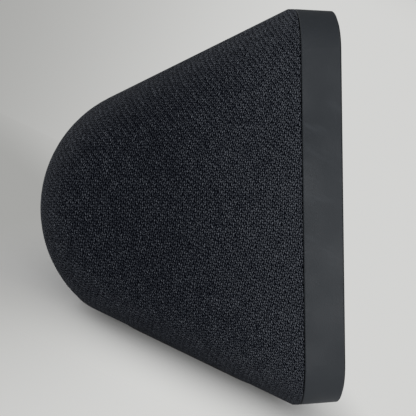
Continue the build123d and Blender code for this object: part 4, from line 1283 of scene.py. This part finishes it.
@dataclass
class Finishes:
    """The finishes of the speaker's pieces."""

    wedge: Wedge

    def of_slots(self) -> tuple[Finish, ...]:
        """The finishes that carry the names of the record's material slots."""
        return (
            Plain("bezel_plastic", (0.0266, 0.0312, 0.0370), size=0.22 * MM, depth=0.02 * MM,
                  roughness=0.65, specular=0.28, mottle=0.04, scuffs=0.3),
            ClearGlass("front_glass", (0.96, 0.98, 0.98), ior=1.05, facing=tuple(self.wedge.inward)),
            Plain("display", (0.005, 0.005, 0.007), depth=0.0001 * MM, roughness=0.06, spread=0.015),
            Plain("black_foam", (0.012, 0.012, 0.012), size=0.3 * MM, depth=0.06 * MM, roughness=0.95),
            Plain("frame_plastic", (0.016, 0.016, 0.018), size=0.3 * MM, depth=0.02 * MM, roughness=0.55),
            Plain("button_plastic", (0.018, 0.020, 0.0225), size=0.2 * MM, depth=0.018 * MM, roughness=0.5,
                  specular=0.25, mottle=0.04),
            Plain("switch_stem", (0.6, 0.6, 0.57), size=0.3 * MM, depth=0.008 * MM, roughness=0.4),
            ClearGlass("lens_glass", (0.25, 0.25, 0.4)),
            Plain("flex_film", (0.32, 0.13, 0.02), Pattern.BRUSHED, (0.2, 0.07, 0.01), size=0.5 * MM,
                  depth=0.01 * MM, roughness=0.3, coat=0.3),
            Plain("circuit_board", (0.02, 0.12, 0.045), Pattern.TRACKS, (0.008, 0.06, 0.02), size=2.6 * MM,
                  depth=0.02 * MM, roughness=0.35, coat=0.4),
            Plain("rubber", (0.014, 0.014, 0.0145), size=0.35 * MM, depth=0.03 * MM, roughness=0.78,
                  mottle=0.05),
            Plain("steel", (0.55, 0.55, 0.56), Pattern.BRUSHED, size=0.12 * MM, depth=0.006 * MM,
                  roughness=0.3, metallic=1.0),
            Plain("aluminium", (0.72, 0.72, 0.73), Pattern.BRUSHED, size=0.15 * MM, depth=0.006 * MM,
                  roughness=0.35, metallic=1.0),
            Plain("basket_metal", (0.02, 0.02, 0.021), size=0.3 * MM, depth=0.02 * MM, roughness=0.4),
            Plain("ferrite", (0.03, 0.03, 0.031), size=0.4 * MM, depth=0.03 * MM, roughness=0.7),
            Plain("brass", (0.8, 0.58, 0.25), Pattern.BRUSHED, size=0.1 * MM, depth=0.004 * MM,
                  roughness=0.25, metallic=1.0),
            Plain("copper_coil", (0.75, 0.36, 0.18), Pattern.TURNS, (0.3, 0.1, 0.04), size=0.25 * MM,
                  depth=0.08 * MM, roughness=0.35, metallic=1.0),
            Plain("cone_paper", (0.02, 0.02, 0.021), size=0.5 * MM, depth=0.05 * MM, roughness=0.9,
                  sheen=0.15),
            Plain("spider_cloth", (0.45, 0.28, 0.08), Pattern.WEAVE, (0.3, 0.17, 0.04), size=0.5 * MM,
                  depth=0.06 * MM, roughness=0.9, sheen=0.2),
            Plain("lead_wire", (0.3, 0.012, 0.012), size=0.6 * MM, depth=0.01 * MM, roughness=0.4),
        )

    def glass_print(self) -> Plain:
        """The black print behind the glass."""
        return Plain("glass_print", (0.002, 0.002, 0.0025), depth=0.0001 * MM, roughness=0.05, spread=0.015)

    def knit(self) -> Knit:
        """The cover's yarn: blue-black with grey flecks."""
        # The pore colour is painted shade, and the fleck and glint colours carry painted highlights.
        return Knit("knit_cover", pore_shade=(0.0003, 0.0005, 0.0018), yarn=(0.0126, 0.0150, 0.0216),
                    fleck_and_highlight=(0.055, 0.061, 0.074), glint=(0.108, 0.117, 0.134))

    def dress(self) -> dict[str, Finish]:
        """Puts each CAD node's finish on it, by its slot in the record.

        Returns:
            The finishes, by the slots' names.
        """
        by_slot = {finish.name: finish for finish in self.of_slots()}
        for row in frame["record"]["subparts"]:
            finish = by_slot.get(row["material_slot"])
            if finish is not None:
                finish.put_on(frame["nodes"][row["node"]])
                LOG.info("%s is finished in %s", row["node"], finish.name)
        return by_slot


def main() -> None:
    """Dresses the frame, adds the pieces that only looks need, and sets the studio."""
    logging.basicConfig(level=logging.INFO, format="%(name)s: %(message)s")
    bpy.context.scene.view_settings.view_transform = "Standard"
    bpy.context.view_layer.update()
    wedge = Wedge()
    finishes = Finishes(wedge)
    by_slot = finishes.dress()
    spider = FlexRing(by_slot["spider_cloth"], "spider", sectors=8,
                      held_radius=11.7 * MM, moving_radius=6.7 * MM)
    surround = FlexRing(by_slot["rubber"], "surround", sectors=12,
                        held_radius=17.4 * MM, moving_radius=16.0 * MM)
    pieces = [BackCover(wedge, finishes.knit()).build(),
              *FrontGlass(wedge, finishes.glass_print(), by_slot["display"]).build(),
              PortBay(by_slot["brass"]).build(),
              *spider.build(),
              *surround.build()]
    for piece in pieces:
        LOG.info("%s has %d faces", piece.name, len(piece.data.polygons))
    Studio(wedge).build()


if __name__ == "__main__":
    main()
